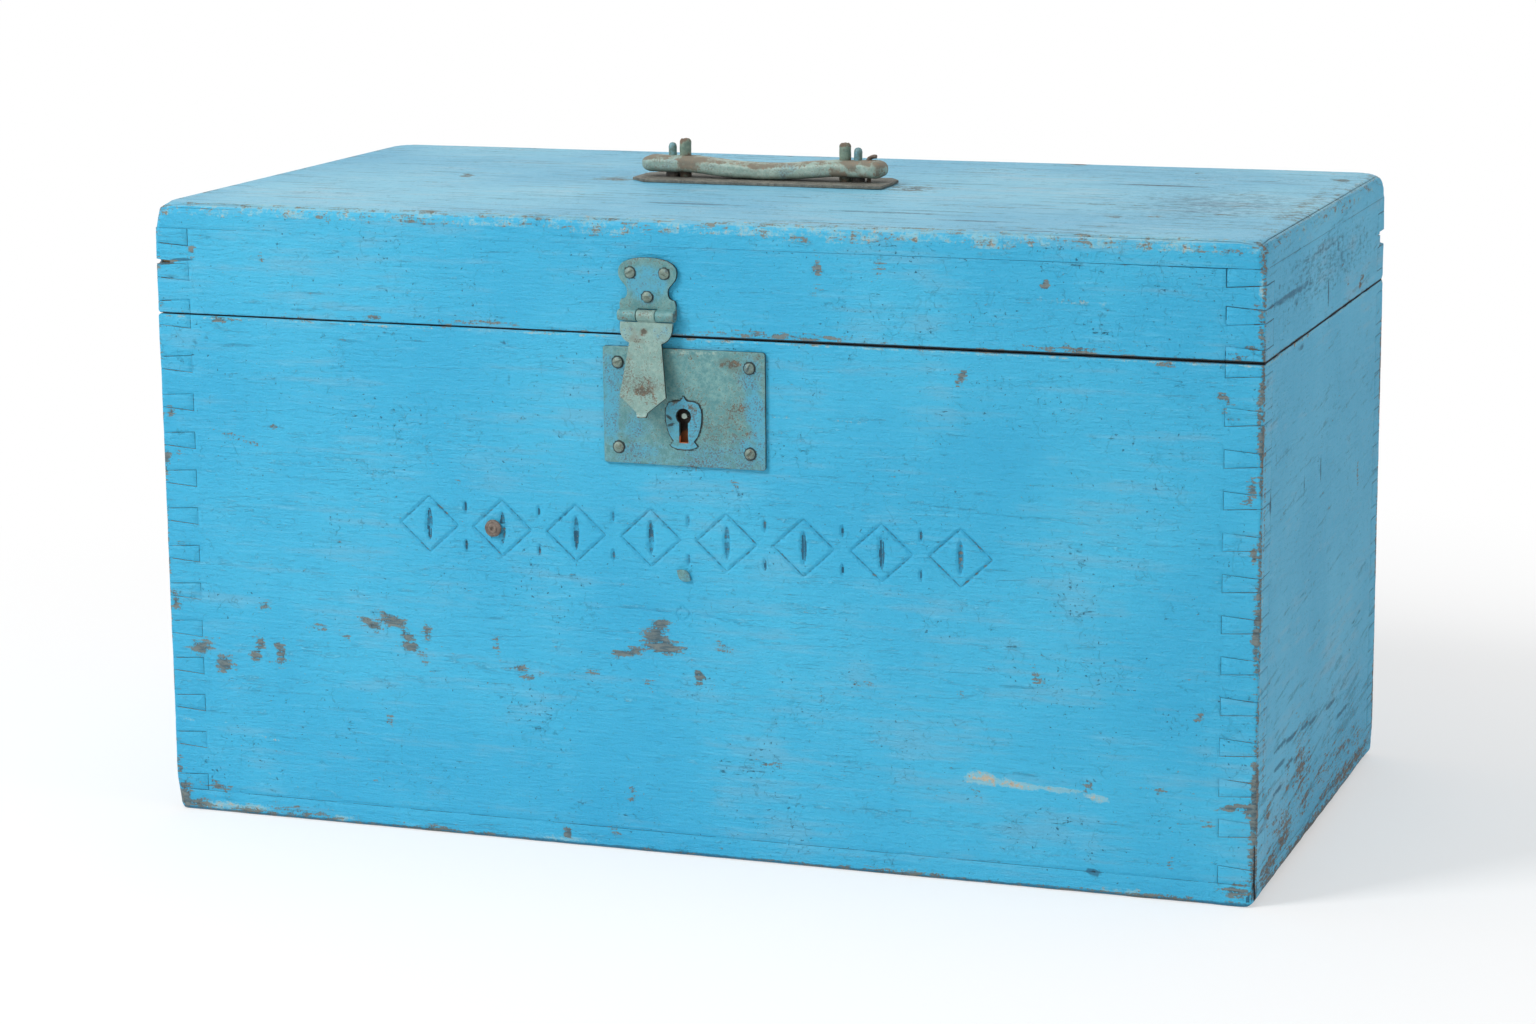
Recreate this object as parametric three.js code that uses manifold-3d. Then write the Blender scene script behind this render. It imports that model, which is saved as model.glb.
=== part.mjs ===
// Carpenter's tool chest: a dovetailed pine box whose lid is sawn from the same box,
// with a hasp and lock in front, two butt hinges behind and an iron bar to carry it by.
// Lengths are millimetres and +Z is up. The front faces -Y, X runs along it, and the
// origin is the middle of the underside.

import * as THREE from 'three';
import { mergeVertices } from 'three/addons/utils/BufferGeometryUtils.js';
import Module from 'manifold-3d';

const wasm = await Module();
wasm.setup();

// Chest
const chestWidth = 620;
const chestDepth = 320;
const boardThick = 20;
const bottomThick = 12;
const bodyBoardHigh = 271;
const seamGap = 0.5;
const lidBoardHigh = 47;
const lidTopThick = 14;
const lidTopRound = 6;
const lidCornerRound = 4;

// Dovetails: an end pin lies along a board's edge, and the sawn pins meet at the lid cut
const pinHigh = 6.5;
const pinFlare = 1.5;
const endPinHigh = 8;
const sawnPinHigh = 6.2;
const bodyPinCount = 11;
const lowestPinUp = 29.4;
const highestPinDown = 27.6;
const lidPinUp = 23.1;
const dovetailGap = 0.15;

// Fits shared by all fittings
const looseFit = 0.3;
const pinFit = 0.25;
const overrun = 2;

// Round-head screws of the hasp and the lock plate
const screwHeadRadius = 2.95;
const screwHeadHigh = 1.9;
const screwShankRadius = 1.6;
const screwLong = 13;
const screwTipLong = 4;
const screwSlotWide = 0.8;
const screwSlotDeep = 0.8;

// Flat-head screws of the hinges
const flatHeadRadius = 3.8;
const flatHeadDeep = 1.7;
const flatScrewLong = 15;

// Nails under the bottom board
const nailHeadRadius = 3.5;
const nailHeadThick = 1.2;
const nailShankRadius = 1.5;
const nailLong = 38;
const nailTipLong = 5;
const nailHeadSunk = 0.3;
const nailAcrossShares = [-0.72, 0, 0.72];

// Nail head in the front board, and a nail beaten flat below it
const frontNailAcross = -111;
const frontNailUp = 174;
const frontNailRadius = 4.8;
const frontNailHeadHigh = 2.4;
const frontNailRimShare = 0.35;
const frontNailCrownShare = 0.5;
const frontNailDimpleRadius = 1.5;
const frontNailDimpleDeep = 1;
const frontNailShankRadius = 2;
const frontNailLong = 14;
const flatNailAcross = -1;
const flatNailUp = 155;
const flatNailLong = 9.5;
const flatNailWide = 6;
const flatNailThick = 1.3;
const flatNailLean = THREE.MathUtils.degToRad(-35);

// Lock plate
const lockPlateWide = 91;
const lockPlateHigh = 62.5;
const lockPlateThick = 1.6;
const lockPlateRound = 1.5;
const lockPlateAcross = 0.5;
const lockPlateDown = 6;
const lockScrewInset = 8.5;

// Keyhole and its escutcheon
const keyholeDown = 4.5;
const keyholeRadius = 4.3;
const keySlotWide = 4.8;
const keySlotLong = 14.2;
const keyPinRadius = 1.5;
const keyPinBack = 0.4;
const escutcheonWide = 21.8;
const escutcheonAbove = 10.9;
const escutcheonBelow = 17.8;
const escutcheonThick = 0.8;
const escutcheonShares = {
  ogeeOut: 0.24,
  ogeeUp: 0.74,
  shoulderOut: 0.82,
  shoulderUp: 0.5,
  waistOut: 0.52,
  waistDown: 0.75,
  footOut: 0.71,
  footDown: 0.88,
};

// Lock case, bolt and spring behind the plate
const caseClearOfScrews = 6;
const caseHigh = 41;
const caseDown = 2.5;
const caseDeep = 8.5;
const caseWall = 1.2;
const boltHigh = 5;
const boltThick = 2.6;
const boltLong = 34;
const boltBehindPlate = 0.5;
const boltTalonWide = 7;
const boltTalonDeep = 1.6;
const guideOut = 10.5;
const guideThick = 3;
const guideRim = 2;
const springThick = 0.6;
const springWide = 2;
const springAnchorShare = 0.93;
const springBendShares = [
  { along: 0, up: 1 },
  { along: 0.55, up: 0.5 },
  { along: 0.75, up: 0.4 },
  { along: 1, up: 0 },
];

// Hasp: leaf on the lid, flap over the lock, staple on the flap's back
const haspAcross = -19;
const haspAxisUp = 10.7;
const haspAxisOut = 3.4;
const haspBarrelLong = 31.5;
const haspMiddleLong = 10.6;
const haspBarrelRadius = 3.1;
const haspPinRadius = 1.2;
const haspLeafWide = 33;
const haspLeafHigh = 30.5;
const haspLeafThick = 2;
const haspRestTilt = THREE.MathUtils.degToRad(10);
const haspLeafShares = {
  barrelUp: 0.2,
  shoulderOut: 0.91,
  shoulderUp: 0.27,
  neckOut: 0.69,
  neckUp: 0.41,
  neckPullUp: 0.55,
  wideUp: 0.75,
  crownUp: 0.93,
  crownOut: 0.55,
};
const haspTopScrewOut = 9.6;
const haspTopScrewUp = 22.4;
const haspLowScrewUp = 9.8;
const flapThick = 1.8;
const flapFanWide = 29.6;
const flapFanDeep = 9;
const flapWaistWide = 18.2;
const flapWaistDown = 14.5;
const flapShoulderWide = 26;
const flapShoulderDown = 42.8;
const flapTipWide = 6.4;
const flapTipDown = 51;
const flapNubWide = 5;
const flapLong = 53.5;
const stapleDown = 41.1;
const stapleHigh = 9.2;
const stapleWide = 2.6;
const stapleReach = 7;
const stapleWall = 1.6;
const stapleSlotWide = 5.6;
const slotSlackAbove = 1.4;
const slotSlackBelow = 2.6;

// Butt hinges
const hingeInset = 115;
const hingeLong = 76;
const hingeLeafHigh = 26;
const hingeLeafThick = 2;
const hingeBarrelRadius = 4.2;
const hingePinRadius = 2;
const hingeKnuckleCount = 5;
const hingeScrewInset = 12;
const hingeScrewUp = 16;

// Handle
const handleAcross = -18;
const handleBack = 21;
const handlePlateLong = 152;
const handlePlateWide = 42;
const handlePlateThick = 1.5;
const handlePlateClipLong = 7;
const handlePlateClipWide = 10;
const barLong = 147;
const barWide = 13;
const barHigh = 9.2;
const barWaistShare = 0.85;
const barLift = 2.9;
const barEndRound = 6;
const handleBoltOut = 48;
const handleBoltRadius = 3.4;
const handleBoltTall = 22.9;
const handleBoltHeadRadius = 7;
const handleBoltHeadThick = 4.5;
const handleBoltShares = { headCrown: 0.8, tipRadius: 0.6, tipHigh: 0.35 };
const handleStudOut = 55.7;
const handleStudRadius = 2.45;
const handleStudTall = 18.6;
const handleStudDeep = 11;
const spacerRadius = 4;
const bentNailOut = 62;
const bentNailRadius = 1.1;
const bentNailTall = 14.2;
const bentNailRise = 2;
const bentNailDeep = 6;
const bentNailLean = 4.2;

// How finely round forms are divided
const nailSides = 10;
const screwSides = 12;
const rodSides = 16;
const barSides = 14;
const barSteps = 12;
const barEndSteps = 4;
const curveSteps = 6;
const roundSteps = 3;

// Worked out from the above
const bodyTop = bottomThick + bodyBoardHigh;
const lidBase = bodyTop + seamGap;
const frontFace = -chestDepth / 2;
const backFace = chestDepth / 2;
const lockPlateUp = bodyTop - lockPlateDown - lockPlateHigh / 2;
const hingeScrewOut = hingeLong / 2 - hingeScrewInset;
const haspAxisZ = lidBase + haspAxisUp;
const stapleAcross = haspAcross - lockPlateAcross;
const stapleUp = haspAxisZ - stapleDown - lockPlateUp;
const flapBack = haspAxisOut - lockPlateThick - looseFit;
const caseWide = lockPlateWide - 2 * (lockScrewInset + caseClearOfScrews);
const lockCasePlace = { high: caseHigh / 2 - caseDown, low: -caseHigh / 2 - caseDown };

// A closed three.js geometry as a solid that can be cut and joined.
function solidOf(geometry) {
  const bare = geometry.clone();
  bare.deleteAttribute('normal');
  bare.deleteAttribute('uv');
  const merged = mergeVertices(bare);
  const mesh = new wasm.Mesh({
    numProp: 3,
    vertProperties: merged.attributes.position.array,
    triVerts: new Uint32Array(merged.index.array),
  });
  return new wasm.Manifold(mesh);
}

// The solid as a flat-shaded geometry.
function geometryOf(solid) {
  const mesh = solid.getMesh();
  const geometry = new THREE.BufferGeometry();
  geometry.setAttribute('position', new THREE.BufferAttribute(mesh.vertProperties, 3));
  geometry.setIndex(new THREE.BufferAttribute(mesh.triVerts, 1));
  const flat = geometry.toNonIndexed();
  flat.computeVertexNormals();
  return flat;
}

function joined(solids) {
  return solids.reduce((whole, piece) => whole.add(piece));
}

function cut(solid, cutters) {
  return cutters.reduce((rest, cutter) => rest.subtract(cutter), solid);
}

// A box from its lowest to its highest corner.
function box(low, high) {
  const size = high.map((value, axis) => value - low[axis]);
  const geometry = new THREE.BoxGeometry(...size);
  geometry.translate(...low.map((value, axis) => value + size[axis] / 2));
  return solidOf(geometry);
}

function extrusion(shape, depth) {
  return new THREE.ExtrudeGeometry(shape, { depth, bevelEnabled: false, curveSegments: curveSteps });
}

// A prism whose outline lies in X and Z, from one Y to another.
function prismAlongY(shape, yFrom, yTo) {
  const geometry = extrusion(shape, yTo - yFrom);
  geometry.rotateX(Math.PI / 2);
  geometry.translate(0, yTo, 0);
  return solidOf(geometry);
}

// A prism whose outline lies in Y and Z, from one X to another.
function prismAlongX(shape, xFrom, xTo) {
  const geometry = extrusion(shape, xTo - xFrom);
  geometry.rotateY(Math.PI / 2);
  geometry.rotateX(Math.PI / 2);
  geometry.translate(xFrom, 0, 0);
  return solidOf(geometry);
}

// A prism whose outline lies in X and Y, from one Z to another.
function prismAlongZ(shape, zFrom, zTo) {
  const geometry = extrusion(shape, zTo - zFrom);
  geometry.translate(0, 0, zFrom);
  return solidOf(geometry);
}

function outline(points) {
  return new THREE.Shape(points.map(([across, up]) => new THREE.Vector2(across, up)));
}

function rodAlongX(radius, xFrom, xTo, y, z) {
  const geometry = new THREE.CylinderGeometry(radius, radius, xTo - xFrom, rodSides);
  geometry.rotateZ(Math.PI / 2);
  geometry.translate((xFrom + xTo) / 2, y, z);
  return solidOf(geometry);
}

function rodAlongY(radius, yFrom, yTo, x, z) {
  const geometry = new THREE.CylinderGeometry(radius, radius, yTo - yFrom, screwSides);
  geometry.translate(x, (yFrom + yTo) / 2, z);
  return solidOf(geometry);
}

function rodAlongZ(radius, zFrom, zTo, x, y, sides = screwSides) {
  const geometry = new THREE.CylinderGeometry(radius, radius, zTo - zFrom, sides);
  geometry.rotateX(Math.PI / 2);
  geometry.translate(x, y, (zFrom + zTo) / 2);
  return solidOf(geometry);
}

// A form turned about Z from radius and height points that start and end on the axis.
function turned(profile, sides) {
  const points = profile.map(([radius, up]) => new THREE.Vector2(radius, up));
  const geometry = new THREE.LatheGeometry(points, sides);
  geometry.rotateX(Math.PI / 2);
  return solidOf(geometry);
}

// Materials
function bluePaint() {
  return new THREE.MeshStandardMaterial({ color: 0x4fb6dc, roughness: 0.62, metalness: 0 });
}

function greenPaintedIron() {
  return new THREE.MeshStandardMaterial({ color: 0x7d9d98, roughness: 0.6, metalness: 0.3 });
}

function rustyIron() {
  return new THREE.MeshStandardMaterial({ color: 0x6d5547, roughness: 0.85, metalness: 0.5 });
}

function darkIron() {
  return new THREE.MeshStandardMaterial({ color: 0x46443f, roughness: 0.55, metalness: 0.8 });
}

// A named mesh of a solid, placed in a group.
function place(group, name, solid, material, position, rotation) {
  const mesh = new THREE.Mesh(geometryOf(solid), material);
  mesh.name = name;
  if (position) mesh.position.set(...position);
  if (rotation) mesh.rotation.set(...rotation);
  group.add(mesh);
}

// The pins of a body corner, as heights above the lower edge of its boards.
function bodyPins() {
  const step = (bodyBoardHigh - highestPinDown - lowestPinUp) / (bodyPinCount - 1);
  const pins = [{ low: 0, high: endPinHigh, edgeBelow: true }];
  for (let pin = 0; pin < bodyPinCount; pin += 1) {
    const middle = lowestPinUp + pin * step;
    pins.push({ low: middle - pinHigh / 2, high: middle + pinHigh / 2 });
  }
  pins.push({ low: bodyBoardHigh - sawnPinHigh, high: bodyBoardHigh, edgeAbove: true });
  return pins;
}

function lidPins() {
  return [
    { low: 0, high: sawnPinHigh, edgeBelow: true },
    { low: lidPinUp - pinHigh / 2, high: lidPinUp + pinHigh / 2 },
    { low: lidBoardHigh - endPinHigh, high: lidBoardHigh, edgeAbove: true },
  ];
}

// One pin, wider towards the inside of the chest, from its inner face to the outside.
function pinSolid(pin, inner, outer, yFrom, yTo) {
  const lowFlare = pin.edgeBelow ? 0 : pinFlare;
  const highFlare = pin.edgeAbove ? 0 : pinFlare;
  const section = outline([
    [inner, pin.low - lowFlare],
    [outer, pin.low],
    [outer, pin.high],
    [inner, pin.high + highFlare],
  ]);
  return prismAlongY(section, yFrom, yTo);
}

// The socket that a pin fills, cut through the end of a tail board.
function pinSocket(pin) {
  const roomy = { ...pin, low: pin.low - dovetailGap, high: pin.high + dovetailGap };
  if (pin.edgeBelow) roomy.low = -overrun;
  if (pin.edgeAbove) roomy.high = pin.high + overrun;
  const inner = chestWidth / 2 - boardThick - dovetailGap;
  return pinSolid(roomy, inner, chestWidth / 2 + overrun, -boardThick, boardThick);
}

// Front or back board: its tails fill the width between the pins at both ends.
function tailBoard(high, pins) {
  const whole = box([-chestWidth / 2, -boardThick / 2, 0], [chestWidth / 2, boardThick / 2, high]);
  const rightSockets = joined(pins.map(pinSocket));
  const leftSockets = rightSockets.mirror([1, 0, 0]);
  return cut(whole, [rightSockets, leftSockets]);
}

// Side board, its outer face towards +X, with pins on both ends.
function pinBoard(high, pins) {
  const halfDepth = chestDepth / 2;
  const core = box([0, boardThick - halfDepth, 0], [boardThick, halfDepth - boardThick, high]);
  const root = halfDepth - boardThick - overrun;
  const frontPins = pins.map((pin) => pinSolid(pin, 0, boardThick, -halfDepth, -root));
  const backPins = pins.map((pin) => pinSolid(pin, 0, boardThick, root, halfDepth));
  return joined([core, ...frontPins, ...backPins]);
}

// Where the nails go up through the bottom board, as X and Y.
function bottomNailPlaces() {
  const nailIn = boardThick / 2;
  const rows = [nailIn - chestDepth / 2, chestDepth / 2 - nailIn];
  const places = rows.flatMap((y) => nailAcrossShares.map((share) => [(share * chestWidth) / 2, y]));
  return [...places, [nailIn - chestWidth / 2, 0], [chestWidth / 2 - nailIn, 0]];
}

function nailHole(x, y, zFrom, zTo) {
  return rodAlongZ(nailShankRadius + pinFit, zFrom, zTo, x, y, nailSides);
}

// Holes that the bottom nails need in a board, from the board's own place.
function nailHolesIn(boardX, boardY, nearBoard) {
  const deep = nailLong - bottomThick + overrun;
  const places = bottomNailPlaces().filter(([x, y]) => nearBoard(x, y));
  return places.map(([x, y]) => nailHole(x - boardX, y - boardY, -overrun, deep));
}

function frontBoard() {
  const middleY = frontFace + boardThick / 2;
  const outside = -boardThick / 2;
  const lockX = lockPlateAcross;
  const lockZ = lockPlateUp - bottomThick;
  const mortise = box(
    [lockX - caseWide / 2 - looseFit, outside - overrun, lockZ + lockCasePlace.low - looseFit],
    [lockX + caseWide / 2 + looseFit, outside + caseDeep + looseFit, lockZ + lockCasePlace.high + looseFit],
  );
  const screwHoles = lockScrewPlaces().map(([x, z]) =>
    rodAlongY(screwShankRadius + pinFit, outside - overrun, outside + screwLong, lockX + x, lockZ + z),
  );
  const frontNailHole = rodAlongY(
    frontNailShankRadius + pinFit,
    outside - overrun,
    outside + frontNailLong,
    frontNailAcross,
    frontNailUp - bottomThick,
  );
  const flatNailHole = rodAlongY(
    frontNailShankRadius + pinFit,
    outside - overrun,
    outside + frontNailLong,
    flatNailAcross,
    flatNailUp - bottomThick,
  );
  const bottomHoles = nailHolesIn(0, middleY, (x, y) => Math.abs(y - middleY) < boardThick / 2);
  const board = tailBoard(bodyBoardHigh, bodyPins());
  return cut(board, [mortise, ...screwHoles, frontNailHole, flatNailHole, ...bottomHoles]);
}

// Where the screws of one hinge leaf go, along the hinge and away from its axis.
function hingeScrewPlaces() {
  return [
    [-hingeScrewOut, hingeScrewUp],
    [hingeScrewOut, hingeScrewUp],
  ];
}

function hingeCentres() {
  const out = chestWidth / 2 - hingeInset;
  return [
    { side: 'left', x: -out },
    { side: 'right', x: out },
  ];
}

// Holes for the hinge screws in a back board, up or down from the hinge axis.
function hingeScrewHoles(axisZ, upOrDown) {
  const outside = boardThick / 2;
  return hingeCentres().flatMap((hinge) =>
    hingeScrewPlaces().map(([along, up]) =>
      rodAlongY(
        screwShankRadius + pinFit,
        outside - flatScrewLong,
        outside + overrun,
        hinge.x + along,
        axisZ + upOrDown * up,
      ),
    ),
  );
}

function backBoard() {
  const middleY = backFace - boardThick / 2;
  const bottomHoles = nailHolesIn(0, middleY, (x, y) => Math.abs(y - middleY) < boardThick / 2);
  const hingeHoles = hingeScrewHoles(bodyBoardHigh + seamGap / 2, -1);
  return cut(tailBoard(bodyBoardHigh, bodyPins()), [...bottomHoles, ...hingeHoles]);
}

function sideBoard() {
  const inner = chestWidth / 2 - boardThick;
  const bottomHoles = nailHolesIn(inner, 0, (x, y) => y === 0 && x > inner);
  return cut(pinBoard(bodyBoardHigh, bodyPins()), bottomHoles);
}

function bottomBoard() {
  const whole = box([-chestWidth / 2, -chestDepth / 2, 0], [chestWidth / 2, chestDepth / 2, bottomThick]);
  const holes = bottomNailPlaces().flatMap(([x, y]) => [
    nailHole(x, y, -overrun, bottomThick + overrun),
    rodAlongZ(nailHeadRadius + pinFit, -overrun, nailHeadSunk + nailHeadThick, x, y, nailSides),
  ]);
  return cut(whole, holes);
}

// A nail, its head's underside at Z zero and its point upwards.
function bottomNail() {
  return turned(
    [
      [0, -nailHeadThick],
      [nailHeadRadius, -nailHeadThick],
      [nailHeadRadius, 0],
      [nailShankRadius, 0],
      [nailShankRadius, nailLong - nailTipLong],
      [0, nailLong - pinFit],
    ],
    nailSides,
  );
}

function lidFrontBoard() {
  const outside = -boardThick / 2;
  const screwWay = screwShankRadius + pinFit;
  const holes = haspScrewPlaces().map(([x, up]) =>
    rodAlongY(screwWay, outside - overrun, outside + screwLong, haspAcross + x, haspAxisUp + up),
  );
  return cut(tailBoard(lidBoardHigh, lidPins()), holes);
}

function lidBackBoard() {
  return cut(tailBoard(lidBoardHigh, lidPins()), hingeScrewHoles(-seamGap / 2, 1));
}

// The lid top as seen from one side: a slab with round upper edges.
function roundTopShape(wide) {
  const shape = new THREE.Shape();
  shape.moveTo(-wide / 2, 0);
  shape.lineTo(wide / 2, 0);
  shape.lineTo(wide / 2, lidTopThick - lidTopRound);
  shape.absarc(wide / 2 - lidTopRound, lidTopThick - lidTopRound, lidTopRound, 0, Math.PI / 2);
  shape.lineTo(lidTopRound - wide / 2, lidTopThick);
  shape.absarc(lidTopRound - wide / 2, lidTopThick - lidTopRound, lidTopRound, Math.PI / 2, Math.PI);
  shape.lineTo(-wide / 2, 0);
  return shape;
}

function roundedRectangle(wide, high, radius) {
  const shape = new THREE.Shape();
  shape.moveTo(radius - wide / 2, -high / 2);
  shape.absarc(wide / 2 - radius, radius - high / 2, radius, -Math.PI / 2, 0);
  shape.absarc(wide / 2 - radius, high / 2 - radius, radius, 0, Math.PI / 2);
  shape.absarc(radius - wide / 2, high / 2 - radius, radius, Math.PI / 2, Math.PI);
  shape.absarc(radius - wide / 2, radius - high / 2, radius, Math.PI, 1.5 * Math.PI);
  return shape;
}

function lidTopBoard() {
  const alongY = prismAlongY(roundTopShape(chestWidth), -chestDepth / 2, chestDepth / 2);
  const alongX = prismAlongX(roundTopShape(chestDepth), -chestWidth / 2, chestWidth / 2);
  const plan = prismAlongZ(roundedRectangle(chestWidth, chestDepth, lidCornerRound), 0, lidTopThick);
  const slab = alongY.intersect(alongX).intersect(plan);
  const holes = handleFixings().map(({ out, radius, deep }) =>
    rodAlongZ(radius + pinFit, lidTopThick - deep, lidTopThick + overrun, handleAcross + out, handleBack),
  );
  return cut(slab, holes);
}

// Where bolts, studs and the bent nail go down into the lid top, and how deep.
function handleFixings() {
  const through = lidTopThick + overrun;
  return [
    { out: -handleBoltOut, radius: handleBoltRadius, deep: through },
    { out: handleBoltOut, radius: handleBoltRadius, deep: through },
    { out: -handleStudOut, radius: handleStudRadius, deep: handleStudDeep + pinFit },
    { out: handleStudOut, radius: handleStudRadius, deep: handleStudDeep + pinFit },
    { out: bentNailOut, radius: bentNailRadius, deep: bentNailDeep + pinFit },
  ];
}

// A round-head screw, its head's underside at Z zero and the head upwards.
function roundHeadScrew() {
  const profile = [
    [0, -screwLong + pinFit],
    [screwShankRadius, screwTipLong - screwLong],
    [screwShankRadius, 0],
  ];
  for (let step = 0; step <= roundSteps; step += 1) {
    const turn = (step / roundSteps) * (Math.PI / 2);
    profile.push([screwHeadRadius * Math.cos(turn), screwHeadHigh * Math.sin(turn)]);
  }
  profile[profile.length - 1][0] = 0;
  const slot = box(
    [-screwHeadRadius - overrun, -screwSlotWide / 2, screwHeadHigh - screwSlotDeep],
    [screwHeadRadius + overrun, screwSlotWide / 2, screwHeadHigh + overrun],
  );
  return cut(turned(profile, screwSides), [slot]);
}

// A flat-head screw, its face at Z zero and its point down.
function flatHeadScrew() {
  const screw = turned(
    [
      [0, -flatScrewLong + pinFit],
      [screwShankRadius, screwTipLong - flatScrewLong],
      [screwShankRadius, -flatHeadDeep],
      [flatHeadRadius, 0],
      [0, 0],
    ],
    screwSides,
  );
  const slot = box(
    [-flatHeadRadius - overrun, -screwSlotWide / 2, -screwSlotDeep],
    [flatHeadRadius + overrun, screwSlotWide / 2, overrun],
  );
  return cut(screw, [slot]);
}

// The countersunk hole for a flat-head screw through a leaf whose face is at Z zero.
function countersink(grow) {
  return turned(
    [
      [0, -flatHeadDeep - overrun],
      [screwShankRadius + grow, -flatHeadDeep - overrun],
      [screwShankRadius + grow, -flatHeadDeep],
      [flatHeadRadius + grow, 0],
      [flatHeadRadius + grow, overrun],
      [0, overrun],
    ],
    screwSides,
  );
}

function lockScrewPlaces() {
  const out = lockPlateWide / 2 - lockScrewInset;
  const up = lockPlateHigh / 2 - lockScrewInset;
  return [
    [-out, up],
    [out, up],
    [-out, -up],
    [out, -up],
  ];
}

// A keyhole's prism about the drill pin: a round hole with a slot below.
function keyhole(yFrom, yTo) {
  const slot = box(
    [-keySlotWide / 2, yFrom, -keyholeDown - keySlotLong],
    [keySlotWide / 2, yTo, -keyholeDown],
  );
  return rodAlongY(keyholeRadius, yFrom, yTo, 0, -keyholeDown).add(slot);
}

// Lock plate, its back at Y zero and its middle at the origin.
function lockPlate() {
  const shape = roundedRectangle(lockPlateWide, lockPlateHigh, lockPlateRound);
  const plate = prismAlongY(shape, -lockPlateThick, 0);
  const screwHoles = lockScrewPlaces().map(([x, z]) =>
    rodAlongY(screwShankRadius + pinFit, -lockPlateThick - overrun, overrun, x, z),
  );
  const slotHalf = stapleSlotWide / 2;
  const slotLow = stapleUp - stapleHigh / 2 - slotSlackBelow;
  const slotHigh = stapleUp + stapleHigh / 2 + slotSlackAbove;
  const stapleSlot = box(
    [stapleAcross - slotHalf, -lockPlateThick - overrun, slotLow],
    [stapleAcross + slotHalf, overrun, slotHigh],
  );
  return cut(plate, [...screwHoles, stapleSlot, keyhole(-lockPlateThick - overrun, overrun)]);
}

// Shield about the keyhole: peaked top, swelling sides, waist and flared foot.
function escutcheon() {
  const out = (share) => (share * escutcheonWide) / 2;
  const up = (share) => share * escutcheonAbove - keyholeDown;
  const down = (share) => -share * escutcheonBelow - keyholeDown;
  const s = escutcheonShares;
  const right = new THREE.Path();
  right.moveTo(0, down(1));
  right.quadraticCurveTo(out(s.waistOut), down(1), out(s.footOut), down(s.footDown));
  right.lineTo(out(s.waistOut), down(s.waistDown));
  right.bezierCurveTo(
    out(1),
    down(s.shoulderUp),
    out(1),
    up(s.shoulderUp),
    out(s.shoulderOut),
    up(s.shoulderUp),
  );
  right.quadraticCurveTo(out(s.shoulderOut), up(s.ogeeUp), out(s.ogeeOut), up(s.ogeeUp));
  right.quadraticCurveTo(out(s.ogeeOut / 2), up(s.ogeeUp), 0, up(1));
  const front = -lockPlateThick - escutcheonThick;
  const plate = prismAlongY(mirroredShape(right), front, -lockPlateThick);
  return cut(plate, [keyhole(front - overrun, overrun)]);
}

// Lock case: a tray that opens towards the plate, with two guides for the bolt.
function lockCase() {
  const { low, high } = lockCasePlace;
  const tray = box([-caseWide / 2, 0, low], [caseWide / 2, caseDeep, high]);
  const inside = box(
    [caseWall - caseWide / 2, -overrun, low + caseWall],
    [caseWide / 2 - caseWall, caseDeep - caseWall, high - caseWall],
  );
  const boltRoom = boltHigh / 2 + looseFit;
  const boltWay = box(
    [-caseWide, -overrun, stapleUp - boltRoom],
    [caseWide, boltBehindPlate + boltThick + looseFit, stapleUp + boltRoom],
  );
  const guides = [-guideOut, guideOut].map((x) =>
    box(
      [x - guideThick / 2, looseFit, stapleUp - boltRoom - guideRim],
      [x + guideThick / 2, caseDeep - caseWall / 2, stapleUp + boltRoom + guideRim],
    ).subtract(boltWay),
  );
  return joined([tray.subtract(inside), ...guides]);
}

// Lock bolt, drawn back: its end lies just clear of the staple's slot.
function lockBolt() {
  const tip = stapleAcross + stapleSlotWide / 2 + looseFit;
  const bar = box(
    [tip, boltBehindPlate, stapleUp - boltHigh / 2],
    [tip + boltLong, boltBehindPlate + boltThick, stapleUp + boltHigh / 2],
  );
  const talon = box(
    [-boltTalonWide / 2, -overrun, stapleUp - boltHigh / 2 - overrun],
    [boltTalonWide / 2, caseDeep, stapleUp - boltHigh / 2 + boltTalonDeep],
  );
  return bar.subtract(talon);
}

// Leaf spring that runs from the case's corner down to the top of the bolt.
function lockSpring() {
  const anchorX = (springAnchorShare * caseWide) / 2;
  const anchorZ = lockCasePlace.high - caseWall - looseFit - springThick;
  const restZ = stapleUp + boltHigh / 2 + looseFit;
  const lower = springBendShares.map(({ along, up }) => [
    anchorX * (1 - along),
    restZ + up * (anchorZ - restZ),
  ]);
  const upper = lower.map(([x, z]) => [x, z + springThick]).reverse();
  return prismAlongY(outline([...lower, ...upper]), boltBehindPlate, boltBehindPlate + springWide);
}

function keyPin() {
  return rodAlongY(keyPinRadius, keyPinBack - lockPlateThick, caseDeep - caseWall, 0, -keyholeDown);
}

// Screws of the hasp leaf, across and up from the hasp's axis.
function haspScrewPlaces() {
  return [
    [-haspTopScrewOut, haspTopScrewUp],
    [haspTopScrewOut, haspTopScrewUp],
    [0, haspLowScrewUp],
  ];
}

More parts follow.
